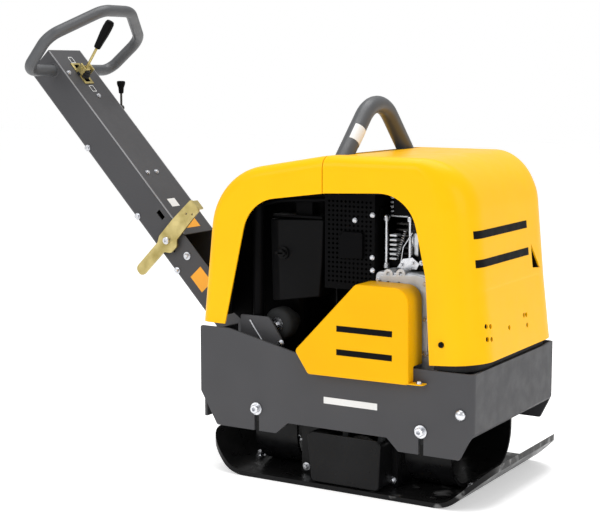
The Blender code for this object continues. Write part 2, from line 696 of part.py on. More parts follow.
# ---------------------------------------------------------------- engine
def engine():
    block = box_mesh((0.065, -0.174, DECK_TOP), (0.211, 0.115, 0.470), 0.006)
    crankcase = add_part("crankcase", block, "cast_aluminium")
    boolean(crankcase, rod_mesh((CLUTCH[0], 0, CLUTCH[1]), "Y", 0.0135, -0.2, -0.150))
    baked(crankcase)

    fins = []
    low, high, count = 0.4703, 0.5800, 6
    pitch = (high - low) / count
    for fin in range(count):
        foot = low + fin * pitch
        fins += [(0.045, foot), (0.045, foot + pitch * 0.4), (0.034, foot + pitch * 0.4),
                 (0.034, foot + pitch)]
    profile = [(0, low)] + fins + [(0, high)]
    add_part("cylinder", turned_mesh(profile, (0.125, -0.070, 0), "Z", 16), "cast_aluminium")

    head = box_mesh((0.073, -0.125, high + FIT_GAP), (0.177, -0.015, 0.625), 0.006)
    add_part("cylinder_head", head, "cast_aluminium")

    guard = add_part("muffler_guard", box_mesh((-0.058, -0.168, 0.425), (0.062, -0.030, 0.628), 0.008),
                     "engine_black")
    boolean(guard, box_mesh((-0.055, -0.165, 0.428), (0.059, 0.0, 0.625)))
    baked(guard)

    start_low, start_high = 0.115 + FIT_GAP, 0.165
    profile = [(0, start_low), (0.068, start_low), (0.068, start_high - 0.012),
               (0.050, start_high), (0.020, start_high), (0, start_high)]
    starter = turned_mesh(profile, (CLUTCH[0] + 0.03, 0, CLUTCH[1]), "Y", 24)
    add_part("recoil_starter", starter, "engine_black")


def air_filter_box():
    outline = filleted([(-0.197, 0.383, 0.006), (-0.074, 0.398, 0.006), (-0.062, 0.570, 0.015),
                        (-0.197, 0.566, 0.015)], 3)
    add_part("air_filter_box", prism_mesh(outline, "XZ", -0.176, -0.098), "black_plastic")


def fuel_tank():
    outline = filleted([(-0.200, 0.380, 0.02), (-0.030, 0.380, 0.02), (-0.030, 0.590, 0.02),
                        (-0.200, 0.590, 0.02)], 3)
    add_part("fuel_tank", prism_mesh(outline, "XZ", 0.098, 0.200), "black_plastic")
    place = (-0.115, 0.125, 0)
    bottom = 0.590 + FIT_GAP
    profile = [(0, bottom), (0.026, bottom), (0.026, 0.612), (0.022, 0.616), (0, 0.616)]
    cap = turned_mesh(profile, place, "Z", 20)
    add_part("fuel_cap", cap, "black_plastic", (place[0], place[1], bottom))


RECESS_HALF, RECESS_SKIN = 0.0945, 0.0025


def drawbar_recess():
    """Bent sheet that walls off the bay where the upright drawbar stands."""
    rear, front, bend = -0.292, -0.158, 0.020
    path = filleted([(rear, -RECESS_HALF, 0), (front, -RECESS_HALF, bend),
                     (front, RECESS_HALF, bend), (rear, RECESS_HALF, 0)], 3, closed=False)
    bent_plate("drawbar_recess", path, "XY", DECK_TOP, 0.600, RECESS_SKIN, "engine_black")


def rubber_buffer():
    """Rubber buffer with a centre bolt, on the recess's right wall."""
    back = -RECESS_HALF - FIT_GAP
    profile = [(0, back), (0.020, back), (0.020, -0.126), (0.036, -0.126), (0.036, -0.158),
               (0.030, -0.164), (0.010, -0.164), (0.010, -0.171), (0, -0.171)]
    add_part("rubber_buffer", turned_mesh(profile, (-0.182, 0, 0.333), "Y", 20), "rubber")


# ---------------------------------------------------------------- drawbar, drawn upright
def drawbar_frame():
    """Empty on the pivot's axis. Its own Z runs up the drawbar and its X to the top face."""
    frame = bpy.data.objects.new("drawbar_frame", None)
    frame.location = PIVOT
    frame.rotation_euler = (0, -POLE_LEAN, 0)
    PARTS.objects.link(frame)
    bpy.context.view_layer.update()
    return frame


def drawbar_channel(frame):
    """Open U of folded plate, its open side to the top, closed at its end."""
    low, high, wall = POLE_FOOT, POLE_END, POLE_WALL
    channel = add_part("drawbar_channel", box_mesh((POLE_BACK, -POLE_HALF, low),
                       (POLE_FRONT, POLE_HALF, high)), "frame_grey", parent=frame)
    boolean(channel, box_mesh((POLE_BACK + wall, -POLE_HALF + wall, low - 0.02),
                              (0.1, POLE_HALF - wall, high - wall)))
    boolean(channel, rod_mesh((0, 0, 0), "Y", PIN_RADIUS + RUNNING_GAP, -0.1, 0.1))
    boolean(channel, rod_mesh((LOOP_BASE, 0, LOOP_UP), "Y", LOOP_RADIUS + 0.0006, -0.1, 0.1, 32))
    boolean(channel, box_mesh((0.014, -0.1, 0.412), (0.026, 0, 0.436)))
    baked(channel)


LEVER_UP = 0.857
LEVER_OUT = 0.060
LEVER_LEAN = radians(-12)   # the travel lever rests leaning towards the handle


def drawbar_cover(frame):
    """Plate over the channel with a slot for the travel lever."""
    low = POLE_FRONT + FIT_GAP
    cover = add_part("drawbar_cover", box_mesh((low, -POLE_HALF, COVER_START),
                     (low + COVER_THICK, POLE_HALF, POLE_END)), "frame_grey", parent=frame)
    boolean(cover, box_mesh((0, -0.010, LEVER_UP - 0.030), (0.1, 0.010, LEVER_UP + 0.030)))
    baked(cover)


def handle_loop(frame):
    """Closed six-sided tube across the drawbar, through both its walls."""
    up = LOOP_BASE
    corners = [(up, -0.157, 0.035), (up, 0.157, 0.035), (up + 0.1150, 0.177, 0.050),
               (up + 0.2080, 0.053, 0.05), (up + 0.2080, -0.053, 0.05), (up + 0.1150, -0.177, 0.050)]
    points = [(out, y, LOOP_UP) for out, y in filleted(corners, 5)]
    points.insert(6, (up, 0.0, LOOP_UP))
    add_part("handle_loop", tube_mesh(points, LOOP_RADIUS, cyclic=True), "tube_grey", parent=frame)


def turned_about(pivot, angle):
    """Turn by an angle about the Y axis through a pivot."""
    return (Matrix.Translation(pivot) @ Matrix.Rotation(angle, 4, "Y")
            @ Matrix.Translation(-Vector(pivot)))


def travel_lever(frame):
    """Bracket, rod and grip of the lever that sets forward and reverse."""
    base = POLE_FRONT + FIT_GAP + COVER_THICK + FIT_GAP
    inner, outer, thick = 0.0125, 0.0165, 0.0025
    bracket = add_part("lever_bracket", box_mesh((base, -outer, LEVER_UP - 0.034),
                       (LEVER_OUT + 0.009, outer, LEVER_UP + 0.034)), "yellow_zinc", parent=frame)
    boolean(bracket, box_mesh((base + thick, -inner, 0.5), (0.2, inner, 1.2)))
    boolean(bracket, box_mesh((0, -0.009, LEVER_UP - 0.028), (0.2, 0.009, LEVER_UP + 0.028)))
    for end in (-1, 1):
        near, far = sorted((LEVER_UP + end * 0.012, LEVER_UP + end * 0.05))
        boolean(bracket, box_mesh((base + thick, -0.03, near), (0.2, 0.03, far)))
    boolean(bracket, rod_mesh((LEVER_OUT, 0, LEVER_UP), "Y", 0.0040, -0.05, 0.05, 16))
    baked(bracket)

    pivot = (LEVER_OUT, 0, LEVER_UP)
    lean = turned_about(pivot, LEVER_LEAN)
    lever = add_part("travel_lever", rod_mesh(pivot, "Y", 0.0035, -0.0185, 0.0185, 16), "zinc", pivot,
                     frame)
    rod = rod_mesh((0, 0, LEVER_UP), "X", 0.0040, 0.030, 0.134, 16)
    rod.transform(lean)
    boolean(lever, rod, "UNION")
    boolean(lever, rod_mesh(pivot, "Y", 0.0080, -0.006, 0.006, 16), "UNION")
    baked(lever)

    rod_end, grip_end = 0.134, 0.199
    start = rod_end - 0.012
    profile = [(0.0043, start), (0.0085, start), (0.0125, start + 0.035), (0.0115, grip_end - 0.008),
               (0.0070, grip_end), (0, grip_end), (0, rod_end + FIT_GAP), (0.0043, rod_end + FIT_GAP)]
    grip = turned_mesh(profile, (0, 0, LEVER_UP), "X", 20)
    grip.transform(lean)
    add_part("lever_grip", grip, "black_plastic", pivot, frame)


THROTTLE = (0.030, 0.0745, 0.752)


def throttle(frame):
    """Small lever on the left wall of the drawbar, upright when the drawbar leans."""
    x, y, z = THROTTLE
    wall = POLE_HALF + FIT_GAP
    bracket = add_part("throttle_bracket", box_mesh((x - 0.012, wall, z - 0.070),
                       (POLE_FRONT - 0.001, wall + 0.004, z + 0.014)), "zinc", parent=frame)
    boolean(bracket, rod_mesh((x, 0, z), "Y", 0.0040, 0.05, 0.1, 16))
    baked(bracket)

    lean = turned_about(THROTTLE, POLE_LEAN)
    hub = rod_mesh((x, 0, z), "Y", 0.0070, wall + 0.0045, y + 0.004, 16)
    lever = add_part("throttle_lever", hub, "zinc", THROTTLE, frame)
    boolean(lever, rod_mesh((x, 0, z), "Y", 0.0035, wall + 0.0005, y, 16), "UNION")
    rod = rod_mesh(THROTTLE, "Z", 0.0030, 0.0, 0.046, 12)
    rod.transform(lean)
    boolean(lever, rod, "UNION")
    baked(lever)

    profile = [(0.0033, 0.036), (0.0060, 0.036), (0.0105, 0.062), (0.0080, 0.067), (0, 0.067),
               (0, 0.0465), (0.0033, 0.0465)]
    knob = turned_mesh(profile, THROTTLE, "Z", 16)
    knob.transform(lean)
    add_part("throttle_knob", knob, "black_plastic", THROTTLE, frame)


LATCH_UP = 0.363
LATCH_IN, LATCH_OUT = -0.0680, -0.0730


def latch_lever(frame):
    """Flat lever on the right wall that locks the drawbar upright, with a lip at its top."""
    up = LATCH_UP
    corners = [(-0.118, up - 0.0165, 0.012), (-0.118, up + 0.0115, 0.012), (-0.024, up + 0.0145, 0.01),
               (-0.010, up + 0.0225, 0.01), (0.045, up + 0.0260, 0.05), (0.120, up + 0.0255, 0.006),
               (0.120, up - 0.0085, 0.006), (0.022, up - 0.0170, 0.008), (0.012, up - 0.0290, 0.010),
               (-0.012, up - 0.0290, 0.010), (-0.026, up - 0.0140, 0.008)]
    lever = add_part("latch_lever", prism_mesh(filleted(corners, 3), "XZ", LATCH_OUT, LATCH_IN),
                     "yellow_zinc", (0, LATCH_OUT, up), frame)
    lip = box_mesh((0.1155, LATCH_OUT + 0.001, up - 0.004), (0.1195, -0.050, up + 0.021))
    boolean(lever, lip, "UNION")
    boolean(lever, rod_mesh((0, 0, up), "Y", 0.0056, -0.1, 0, 20))
    for out, along in ((0.098, -0.002), (0.086, 0.010)):
        boolean(lever, rod_mesh((out, 0, up + along), "Y", 0.0030, -0.1, 0, 12))
    baked(lever)

    wall, cap = -POLE_HALF - FIT_GAP, LATCH_OUT - 0.0008
    profile = [(0, wall), (0.010, wall), (0.010, LATCH_IN + 0.0008), (0.0050, LATCH_IN + 0.0008),
               (0.0050, cap), (0.0085, cap), (0.0085, cap - 0.006), (0, cap - 0.006)]
    add_part("latch_bolt", turned_mesh(profile, (0, 0, up), "Y", 20), "zinc", parent=frame)


# ---------------------------------------------------------------- the machine
def build():
    base_plate()
    cradle("front_cradle", 0.132, 0.240)
    cradle("rear_cradle", -0.240, -0.132)
    exciter_housing()
    exciter_cover("exciter_cover_right", -1, SHAFT_X)
    exciter_cover("exciter_cover_left", 1, None)
    lower_belt_cover()
    eccentric_shaft("front_eccentric_shaft", SHAFT_X, BELT_Y - 0.012)
    eccentric_shaft("rear_eccentric_shaft", -SHAFT_X, -HOUSING_Y - FIT_GAP - 0.0095)
    gear("front_gear", SHAFT_X, 0.0, None)
    gear("rear_gear", -SHAFT_X, 0.5, None)
    exciter_pulley()
    clutch_pulley()
    drive_belt()
    for word, side in (("right", -1), ("left", 1)):
        side_plate("side_plate_" + word, side)
        pivot_ear("pivot_ear_" + word, side)
        corner_bolt("corner_bolt_" + word, side)
        lifting_frame("lifting_frame_" + word, side)
        for place, x in (("front", MOUNT_X), ("rear", -MOUNT_X)):
            rubber_mount("rubber_mount_%s_%s" % (place, word), x, side)
            slot_bolt("slot_bolt_%s_%s" % (place, word), x, side)
    front_panel()
    rear_panel()
    engine_deck()
    drawbar_pin()
    hood_half("hood_front", -0.5, HOOD_SEAM + 0.001)
    hood_half("hood_rear", HOOD_SEAM - 0.001, 0.5)
    hood_seal()
    lifting_arch()
    belt_guard()
    engine()
    air_filter_box()
    fuel_tank()
    drawbar_recess()
    rubber_buffer()
    frame = drawbar_frame()
    drawbar_channel(frame)
    drawbar_cover(frame)
    handle_loop(frame)
    travel_lever(frame)
    throttle(frame)
    latch_lever(frame)


build()
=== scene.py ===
import json
from math import cos, hypot, pi, radians, sin, tan

import bmesh
import bpy
from mathutils import Matrix, Vector


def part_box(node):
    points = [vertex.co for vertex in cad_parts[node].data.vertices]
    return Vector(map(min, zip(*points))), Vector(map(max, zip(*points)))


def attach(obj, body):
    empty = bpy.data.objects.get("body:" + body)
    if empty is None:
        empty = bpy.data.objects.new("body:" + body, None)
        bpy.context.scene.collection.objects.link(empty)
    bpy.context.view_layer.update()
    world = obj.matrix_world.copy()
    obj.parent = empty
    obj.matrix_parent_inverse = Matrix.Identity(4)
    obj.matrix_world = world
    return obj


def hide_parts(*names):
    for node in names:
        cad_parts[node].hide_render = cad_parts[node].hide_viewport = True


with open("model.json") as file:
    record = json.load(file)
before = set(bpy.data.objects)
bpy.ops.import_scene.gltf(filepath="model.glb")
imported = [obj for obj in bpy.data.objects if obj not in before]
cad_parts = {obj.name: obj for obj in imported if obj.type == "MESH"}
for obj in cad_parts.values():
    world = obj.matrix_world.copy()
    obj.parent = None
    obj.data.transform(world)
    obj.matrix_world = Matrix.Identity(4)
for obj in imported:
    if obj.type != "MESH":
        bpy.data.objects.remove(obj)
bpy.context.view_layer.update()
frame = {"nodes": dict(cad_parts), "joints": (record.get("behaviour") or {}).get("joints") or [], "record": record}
NODES = frame["nodes"]
SLOT_OF = {part["node"]: part["material_slot"] for part in frame["record"]["subparts"]}
JOINTS = {joint["name"]: joint for joint in frame["joints"]}

# %% [markdown]
# ## The camera
# A long lens about three and a half metres away flattens the perspective, as in a catalogue. The camera
# is placed by the point that it looks at, two angles and a distance, so each can be changed by itself.
# %% Camera
AIM = Vector((-0.234, 0.022, 0.452))
AZIMUTH, ELEVATION, DISTANCE = radians(30.99), radians(7.46), 3.351
back = Vector((sin(AZIMUTH) * cos(ELEVATION), -cos(AZIMUTH) * cos(ELEVATION), sin(ELEVATION)))
lens = bpy.data.cameras.new("camera")
lens.sensor_width = 36.0
lens.lens = 87.12
camera = bpy.data.objects.new("camera", lens)
camera.location = AIM + back * DISTANCE
camera.rotation_euler = (-back).to_track_quat("-Z", "Y").to_euler()
bpy.context.scene.collection.objects.link(camera)
bpy.context.scene.camera = camera
print("camera at", [round(value, 3) for value in camera.location])

# %% [markdown]
# ## Floor and light
# A pale floor that runs far back, a soft even sky, and three large soft lamps: one high on the viewer's
# left for the long side, one from the front for the hood's nose, and one overhead for the roof. The sky
# looks white but gives less light than it shows, so that the machine keeps its dark tones, and the floor
# glows a little to stay as white as the sky.
# %% Floor, sky and lamps
SKY_LIGHT, FLOOR_GLOW = 0.62, 0.42


def plain_material(name, colour, roughness):
    made = bpy.data.materials.new(name)
    made.use_nodes = True
    shader = made.node_tree.nodes["Principled BSDF"]
    shader.inputs["Base Color"].default_value = (*colour, 1)
    shader.inputs["Roughness"].default_value = roughness
    return made


def floor():
    bm = bmesh.new()
    bmesh.ops.create_grid(bm, x_segments=2, y_segments=2, size=14.0)
    mesh = bpy.data.meshes.new("floor")
    bm.to_mesh(mesh)
    bm.free()
    paper = plain_material("floor_paper", (0.93, 0.93, 0.93), 0.75)
    shader = paper.node_tree.nodes["Principled BSDF"]
    shader.inputs["Emission Color"].default_value = (1, 1, 1, 1)
    shader.inputs["Emission Strength"].default_value = FLOOR_GLOW
    mesh.materials.append(paper)
    ground = bpy.data.objects.new("floor", mesh)
    ground.location.z = -0.0005
    bpy.context.scene.collection.objects.link(ground)


def lamp(name, place, aim, size, watts):
    light = bpy.data.lights.new(name, "AREA")
    light.shape = "RECTANGLE"
    light.size, light.size_y = size
    light.energy = watts
    holder = bpy.data.objects.new(name, light)
    holder.location = place
    holder.rotation_euler = (Vector(place) - Vector(aim)).to_track_quat("Z", "Y").to_euler()
    bpy.context.scene.collection.objects.link(holder)


world = bpy.data.worlds.new("studio")
world.use_nodes = True
background = world.node_tree.nodes["Background"]
background.inputs["Color"].default_value = (1.0, 1.0, 1.0, 1)
seen = world.node_tree.nodes.new("ShaderNodeLightPath")
strength = world.node_tree.nodes.new("ShaderNodeMapRange")
strength.inputs["To Min"].default_value = SKY_LIGHT
strength.inputs["To Max"].default_value = 1.0
world.node_tree.links.new(seen.outputs["Is Camera Ray"], strength.inputs["Value"])
world.node_tree.links.new(strength.outputs["Result"], background.inputs["Strength"])
bpy.context.scene.world = world
bpy.context.scene.view_settings.view_transform = "Standard"
floor()
lamp("side_light", (-1.6, -3.2, 2.4), (-0.1, 0, 0.35), (2.4, 1.6), 36)
lamp("front_light", (3.2, -1.4, 1.6), (0.2, 0, 0.4), (1.8, 1.8), 20)
lamp("top_light", (0.0, 0.3, 3.4), (0, 0, 0.4), (2.6, 2.6), 76)

# %% [markdown]
# ## Modelling helpers
# The machine is mostly folded plate, bent tube, turned parts and castings. So a few helpers cover nearly
# everything: an outline carried straight (prism), a profile spun (turned), a sheet that follows a path
# (folded), and a round bar along points (tube). Corners are given with a radius and rounded in one place.
# %% Outlines and meshes
def arc(centre, radius, start, end, steps):
    turns = [start + (end - start) * step / steps for step in range(steps + 1)]
    return [(centre[0] + radius * cos(turn), centre[1] + radius * sin(turn)) for turn in turns]


def rounded(corners, steps=8, closed=True):
    """Turn (u, v, radius) corners into points, each corner rounded by its radius."""
    points = []
    count = len(corners)
    for index, (u, v, radius) in enumerate(corners):
        here = Vector((u, v))
        if radius == 0 or (not closed and index in (0, count - 1)):
            points.append((u, v))
            continue
        before = Vector(corners[index - 1][:2]) - here
        after = Vector(corners[(index + 1) % count][:2]) - here
        half = before.angle(after) / 2
        start = here + before.normalized() * radius / tan(half)
        end = here + after.normalized() * radius / tan(half)
        centre = here + (before.normalized() + after.normalized()).normalized() * radius / sin(half)
        turn = (start - centre).angle_signed(end - centre)
        for step in range(steps + 1):
            spoke = (start - centre).copy()
            spoke.rotate(Matrix.Rotation(-turn * step / steps, 2))
            points.append(tuple(centre + spoke))
    return points


PLANES = {
    "XZ": lambda u, v, w: (u, w, v),
    "YZ": lambda u, v, w: (w, u, v),
    "XY": lambda u, v, w: (u, v, w),
}
AXIS_TURN = {
    "X": Matrix.Rotation(pi / 2, 4, "Y"),
    "Y": Matrix.Rotation(-pi / 2, 4, "X"),
    "Z": Matrix.Identity(4),
}


def mesh_from(bm, name="shape", outwards=True):
    if outwards:
        bmesh.ops.recalc_face_normals(bm, faces=bm.faces)
    mesh = bpy.data.meshes.new(name)
    bm.to_mesh(mesh)
    bm.free()
    return mesh


def prism(outline, plane, low, high):
    place = PLANES[plane]
    bm = bmesh.new()
    face = bm.faces.new([bm.verts.new(place(u, v, low)) for u, v in outline])
    moved = bmesh.ops.extrude_face_region(bm, geom=[face])["geom"]
    lifted = [item for item in moved if isinstance(item, bmesh.types.BMVert)]
    bmesh.ops.translate(bm, vec=Vector(place(0, 0, high - low)), verts=lifted)
    return mesh_from(bm)


def block(low, high):
    return prism([(low[0], low[1]), (high[0], low[1]), (high[0], high[1]), (low[0], high[1])], "XY",
                 low[2], high[2])


def rod(centre, axis, radius, low, high, sides=32):
    bm = bmesh.new()
    bmesh.ops.create_cone(bm, cap_ends=True, segments=sides, radius1=radius, radius2=radius,
                          depth=high - low)
    bmesh.ops.translate(bm, vec=(0, 0, (low + high) / 2), verts=bm.verts)
    bmesh.ops.transform(bm, matrix=Matrix.Translation(centre) @ AXIS_TURN[axis], verts=bm.verts)
    return mesh_from(bm)


def turned(profile, centre, axis, steps=40):
    """Spin a closed profile of (radius, height) points about an axis through centre."""
    bm = bmesh.new()
    ring = [bm.verts.new((radius, 0, height)) for radius, height in profile]
    edges = [bm.edges.new((ring[i], ring[(i + 1) % len(ring)])) for i in range(len(ring))]
    edges = [edge for edge in edges if any(vert.co.x > 1e-6 for vert in edge.verts)]
    bmesh.ops.spin(bm, geom=edges, axis=(0, 0, 1), cent=(0, 0, 0), angle=2 * pi, steps=steps)
    bmesh.ops.remove_doubles(bm, verts=bm.verts, dist=1e-6)
    for edge in [edge for edge in bm.edges if not edge.link_faces]:
        bm.edges.remove(edge)
    bmesh.ops.transform(bm, matrix=Matrix.Translation(centre) @ AXIS_TURN[axis], verts=bm.verts)
    return mesh_from(bm)


def folded(path, plane, low, high):
    """An open sheet along a path; Solidify gives it thickness later."""
    place = PLANES[plane]
    bm = bmesh.new()
    lines = [[bm.verts.new(place(u, v, w)) for w in (low, high)] for u, v in path]
    for one, two in zip(lines, lines[1:]):
        bm.faces.new((one[0], one[1], two[1], two[0]))
    return mesh_from(bm, outwards=False)


def tube(points, radius, cyclic=False, resolution=6):
    """A round bar through points, with welded caps."""
    curve = bpy.data.curves.new("tube", "CURVE")
    curve.dimensions = "3D"
    spline = curve.splines.new("POLY")
    spline.points.add(len(points) - 1)
    for place, point in zip(spline.points, points):
        place.co = (*point, 1)
    spline.use_cyclic_u = cyclic
    curve.bevel_depth = radius
    curve.bevel_resolution = resolution
    curve.use_fill_caps = True
    holder = bpy.data.objects.new("tube", curve)
    bpy.context.scene.collection.objects.link(holder)
    mesh = bpy.data.meshes.new_from_object(holder.evaluated_get(bpy.context.evaluated_depsgraph_get()))
    bpy.data.objects.remove(holder)
    bm = bmesh.new()
    bm.from_mesh(mesh)
    bmesh.ops.remove_doubles(bm, verts=bm.verts, dist=1e-6)
    return mesh_from(bm)


def together(*parts):
    """Join meshes into one; an object among them gives its mesh and is removed."""
    bm = bmesh.new()
    for part in parts:
        if isinstance(part, bpy.types.Mesh):
            bm.from_mesh(part)
        else:
            bm.from_mesh(part.data)
            bpy.data.objects.remove(part)
    return mesh_from(bm, outwards=False)


print("helpers ready")

# %% [markdown]
# ## From draft to piece
# A draft is a mesh with live modifiers. `cut` removes or adds a shape, `eased` rounds its sharp edges, and
# `thick` gives a sheet its wall. `piece` then turns the result into a plain mesh with its place in its
# vertices, and lets it ride on a body of the frame. It wears its slot's finish, unless it is given another
# or keeps the ones on its mesh.
# %% Drafts and pieces
KEPT = "kept"


def draft(name, mesh):
    item = bpy.data.objects.new(name, mesh)
    bpy.context.scene.collection.objects.link(item)
    return item


def settled(item):
    """Replace an object's mesh with its evaluated one and drop its modifiers."""
    mesh = bpy.data.meshes.new_from_object(item.evaluated_get(bpy.context.evaluated_depsgraph_get()))
    item.modifiers.clear()
    item.data = mesh
    return item


def cut(item, mesh, operation="DIFFERENCE"):
    tool = draft("tool", mesh)
    modifier = item.modifiers.new("cut", "BOOLEAN")
    modifier.object = tool
    modifier.operation = operation
    settled(item)
    bpy.data.objects.remove(tool)
    return item


def thick(item, thickness, offset=1, inner_slot=0, even=True):
    modifier = item.modifiers.new("wall", "SOLIDIFY")
    modifier.thickness = thickness
    modifier.offset = offset
    modifier.use_even_offset = even
    modifier.material_offset = inner_slot
    return settled(item)


def eased(item, width, segments=2, angle=30):
    modifier = item.modifiers.new("edges", "BEVEL")
    modifier.width = width
    modifier.segments = segments
    modifier.limit_method = "ANGLE"
    modifier.angle_limit = radians(angle)
    return settled(item)


def piece(item, body, slot, stands_for=(), finish=None, sharp=40):
    """Finish an object: material (its slot's finish unless another is given), smooth shading, body and the nodes
    that it stands for.
    """
    mesh = item.data
    if finish != KEPT:
        mesh.materials.clear()
        mesh.materials.append(finish or FINISH[slot])
    mesh.shade_smooth()
    mesh.set_sharp_from_angle(angle=radians(sharp))
    weighted = item.modifiers.new("normals", "WEIGHTED_NORMAL")
    weighted.keep_sharp = True
    settled(item)
    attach(item, body)
    if stands_for:
        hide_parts(*stands_for)
    return item


def made(name, mesh, body, slot, stands_for=(), finish=None, ease=0.0):
    """A piece straight from a mesh, with its edges eased if asked."""
    item = draft(name, mesh)
    if ease:
        eased(item, ease)
    return piece(item, body, slot, stands_for, finish)


print("draft, cut, thick, eased and piece are defined")

# %% [markdown]
# ## Finishes
# Paint on steel is never one flat colour: powder coat has a fine orange peel, sheet picks up dust on its
# upward faces, and black paint on the base is scuffed. One node recipe serves all: patchy colour from a
# large noise, roughness from a middle one, and a bump from a fine one, each with its own scale.
# %% One recipe for every finish
def finish_recipe(name, colour, roughness, metallic=0.0, coat=0.0, patch=0.12, patch_scale=9.0,
                  spread=0.08, grain=0.10, grain_scale=420.0, depth=0.0006, dust=0.0, second=None,
                  shine=0.5):
    made_material = bpy.data.materials.new(name)
    made_material.use_nodes = True
    nodes, links = made_material.node_tree.nodes, made_material.node_tree.links
    shader = nodes["Principled BSDF"]
    shader.inputs["Metallic"].default_value = metallic
    shader.inputs["Coat Weight"].default_value = coat
    shader.inputs["Coat Roughness"].default_value = 0.12
    shader.inputs["Specular IOR Level"].default_value = shine
    place = nodes.new("ShaderNodeTexCoord")

    def noise(scale, detail):
        node = nodes.new("ShaderNodeTexNoise")
        node.inputs["Scale"].default_value = scale
        node.inputs["Detail"].default_value = detail
        links.new(place.outputs["Object"], node.inputs["Vector"])
        return node.outputs["Fac"]

    def stretched(value, low, high, start=0.3, end=0.7):
        node = nodes.new("ShaderNodeMapRange")
        node.inputs["From Min"].default_value = start
        node.inputs["From Max"].default_value = end
        node.inputs["To Min"].default_value = low
        node.inputs["To Max"].default_value = high
        links.new(value, node.inputs["Value"])
        return node.outputs["Result"]

    def mixed(share, one, two):
        node = nodes.new("ShaderNodeMix")
        node.data_type = "RGBA"
        links.new(share, node.inputs["Factor"])
        for socket, value in ((node.inputs["A"], one), (node.inputs["B"], two)):
            if isinstance(value, bpy.types.NodeSocket):
                links.new(value, socket)
            else:
                socket.default_value = (*value, 1)
        return node.outputs["Result"]

    darker = [channel * (1 - patch) for channel in colour]
    lighter = second or [min(1.0, channel * (1 + patch)) for channel in colour]
    tint = mixed(stretched(noise(patch_scale, 4), 0, 1), darker, lighter)
    if dust:
        facing = nodes.new("ShaderNodeNewGeometry")
        split = nodes.new("ShaderNodeSeparateXYZ")
        links.new(facing.outputs["Normal"], split.inputs["Vector"])
        up = stretched(split.outputs["Z"], 0, dust, 0.2, 1.0)
        cloud = stretched(noise(34, 6), 0.25, 1.0, 0.35, 0.75)
        both = nodes.new("ShaderNodeMath")
        both.operation = "MULTIPLY"
        links.new(up, both.inputs[0])
        links.new(cloud, both.inputs[1])
        tint = mixed(both.outputs["Value"], tint, (0.30, 0.28, 0.25))
    links.new(tint, shader.inputs["Base Color"])
    gloss = stretched(noise(patch_scale * 4, 5), max(0.03, roughness - spread), roughness + spread)
    links.new(gloss, shader.inputs["Roughness"])
    bump = nodes.new("ShaderNodeBump")
    bump.inputs["Strength"].default_value = grain
    bump.inputs["Distance"].default_value = depth
    links.new(noise(grain_scale, 2), bump.inputs["Height"])
    links.new(bump.outputs["Normal"], shader.inputs["Normal"])
    return made_material


FINISH = {
    "base_black": finish_recipe("base_black", (0.0050, 0.0050, 0.0055), 0.34, patch=0.35, spread=0.10,
                                grain=0.20, grain_scale=150, depth=0.0010, dust=0.02, patch_scale=14,
                                shine=0.14),
    "frame_grey": finish_recipe("frame_grey", (0.062, 0.062, 0.066), 0.50, patch=0.05, grain=0.20,
                                grain_scale=520, dust=0.03, shine=0.18),
    "hood_yellow": finish_recipe("hood_yellow", (0.95, 0.485, 0.001), 0.34, coat=0.04, patch=0.02,
                                 spread=0.05, grain=0.08, grain_scale=180, depth=0.0004, shine=0.12),
    "guard_yellow": finish_recipe("guard_yellow", (0.84, 0.425, 0.001), 0.42, patch=0.03,
                                  spread=0.06, grain=0.14, grain_scale=380, shine=0.10),
    "tube_grey": finish_recipe("tube_grey", (0.072, 0.075, 0.080), 0.40, patch=0.10, grain=0.2,
                               grain_scale=430, shine=0.4),
    "engine_black": finish_recipe("engine_black", (0.0022, 0.0022, 0.0026), 0.45, patch=0.3,
                                  grain=0.22, grain_scale=360, shine=0.04),
    "cast_aluminium": finish_recipe("cast_aluminium", (0.62, 0.64, 0.67), 0.46, metallic=0.55,
                                    patch=0.16, patch_scale=30, grain=0.55, grain_scale=620,
                                    depth=0.0010),
    "zinc": finish_recipe("zinc", (0.66, 0.67, 0.70), 0.28, metallic=1.0, patch=0.08, patch_scale=60,
                          grain=0.12, grain_scale=700),
    "yellow_zinc": finish_recipe("yellow_zinc", (0.42, 0.33, 0.10), 0.36, metallic=0.75, patch=0.20,
                                 patch_scale=26, second=(0.66, 0.55, 0.24), grain=0.12),
    "steel": finish_recipe("steel", (0.42, 0.42, 0.43), 0.34, metallic=1.0, patch=0.10, grain=0.1),
    "cast_iron": finish_recipe("cast_iron", (0.050, 0.048, 0.046), 0.55, metallic=0.6, patch=0.25,
                               patch_scale=40, grain=0.5, grain_scale=500, depth=0.0010),
    "rubber": finish_recipe("rubber", (0.020, 0.021, 0.022), 0.72, patch=0.25, grain=0.35,
                            grain_scale=560, dust=0.03, shine=0.2),
    "black_plastic": finish_recipe("black_plastic", (0.0038, 0.0038, 0.0042), 0.42, patch=0.2,
                                   grain=0.3, grain_scale=640, shine=0.06),
}
PRINT = {
    "black": finish_recipe("black_print", (0.004, 0.004, 0.004), 0.5, patch=0.2, grain=0.05, shine=0.06),
    "white": finish_recipe("white_print", (0.72, 0.72, 0.71), 0.45, patch=0.05, grain=0.05),
    "orange": finish_recipe("orange_print", (0.80, 0.34, 0.008), 0.42, patch=0.06, grain=0.05),
    # painted highlight: a lighter grey laid on thin strips along the drawbar cover's edges
    "edge": finish_recipe("painted_edge_highlight", (0.24, 0.24, 0.25), 0.40, patch=0.08, grain=0.05),
}
for name, node in NODES.items():
    node.data.materials.clear()
    node.data.materials.append(FINISH[SLOT_OF[name]])
print("finishes:", len(FINISH) + len(PRINT))

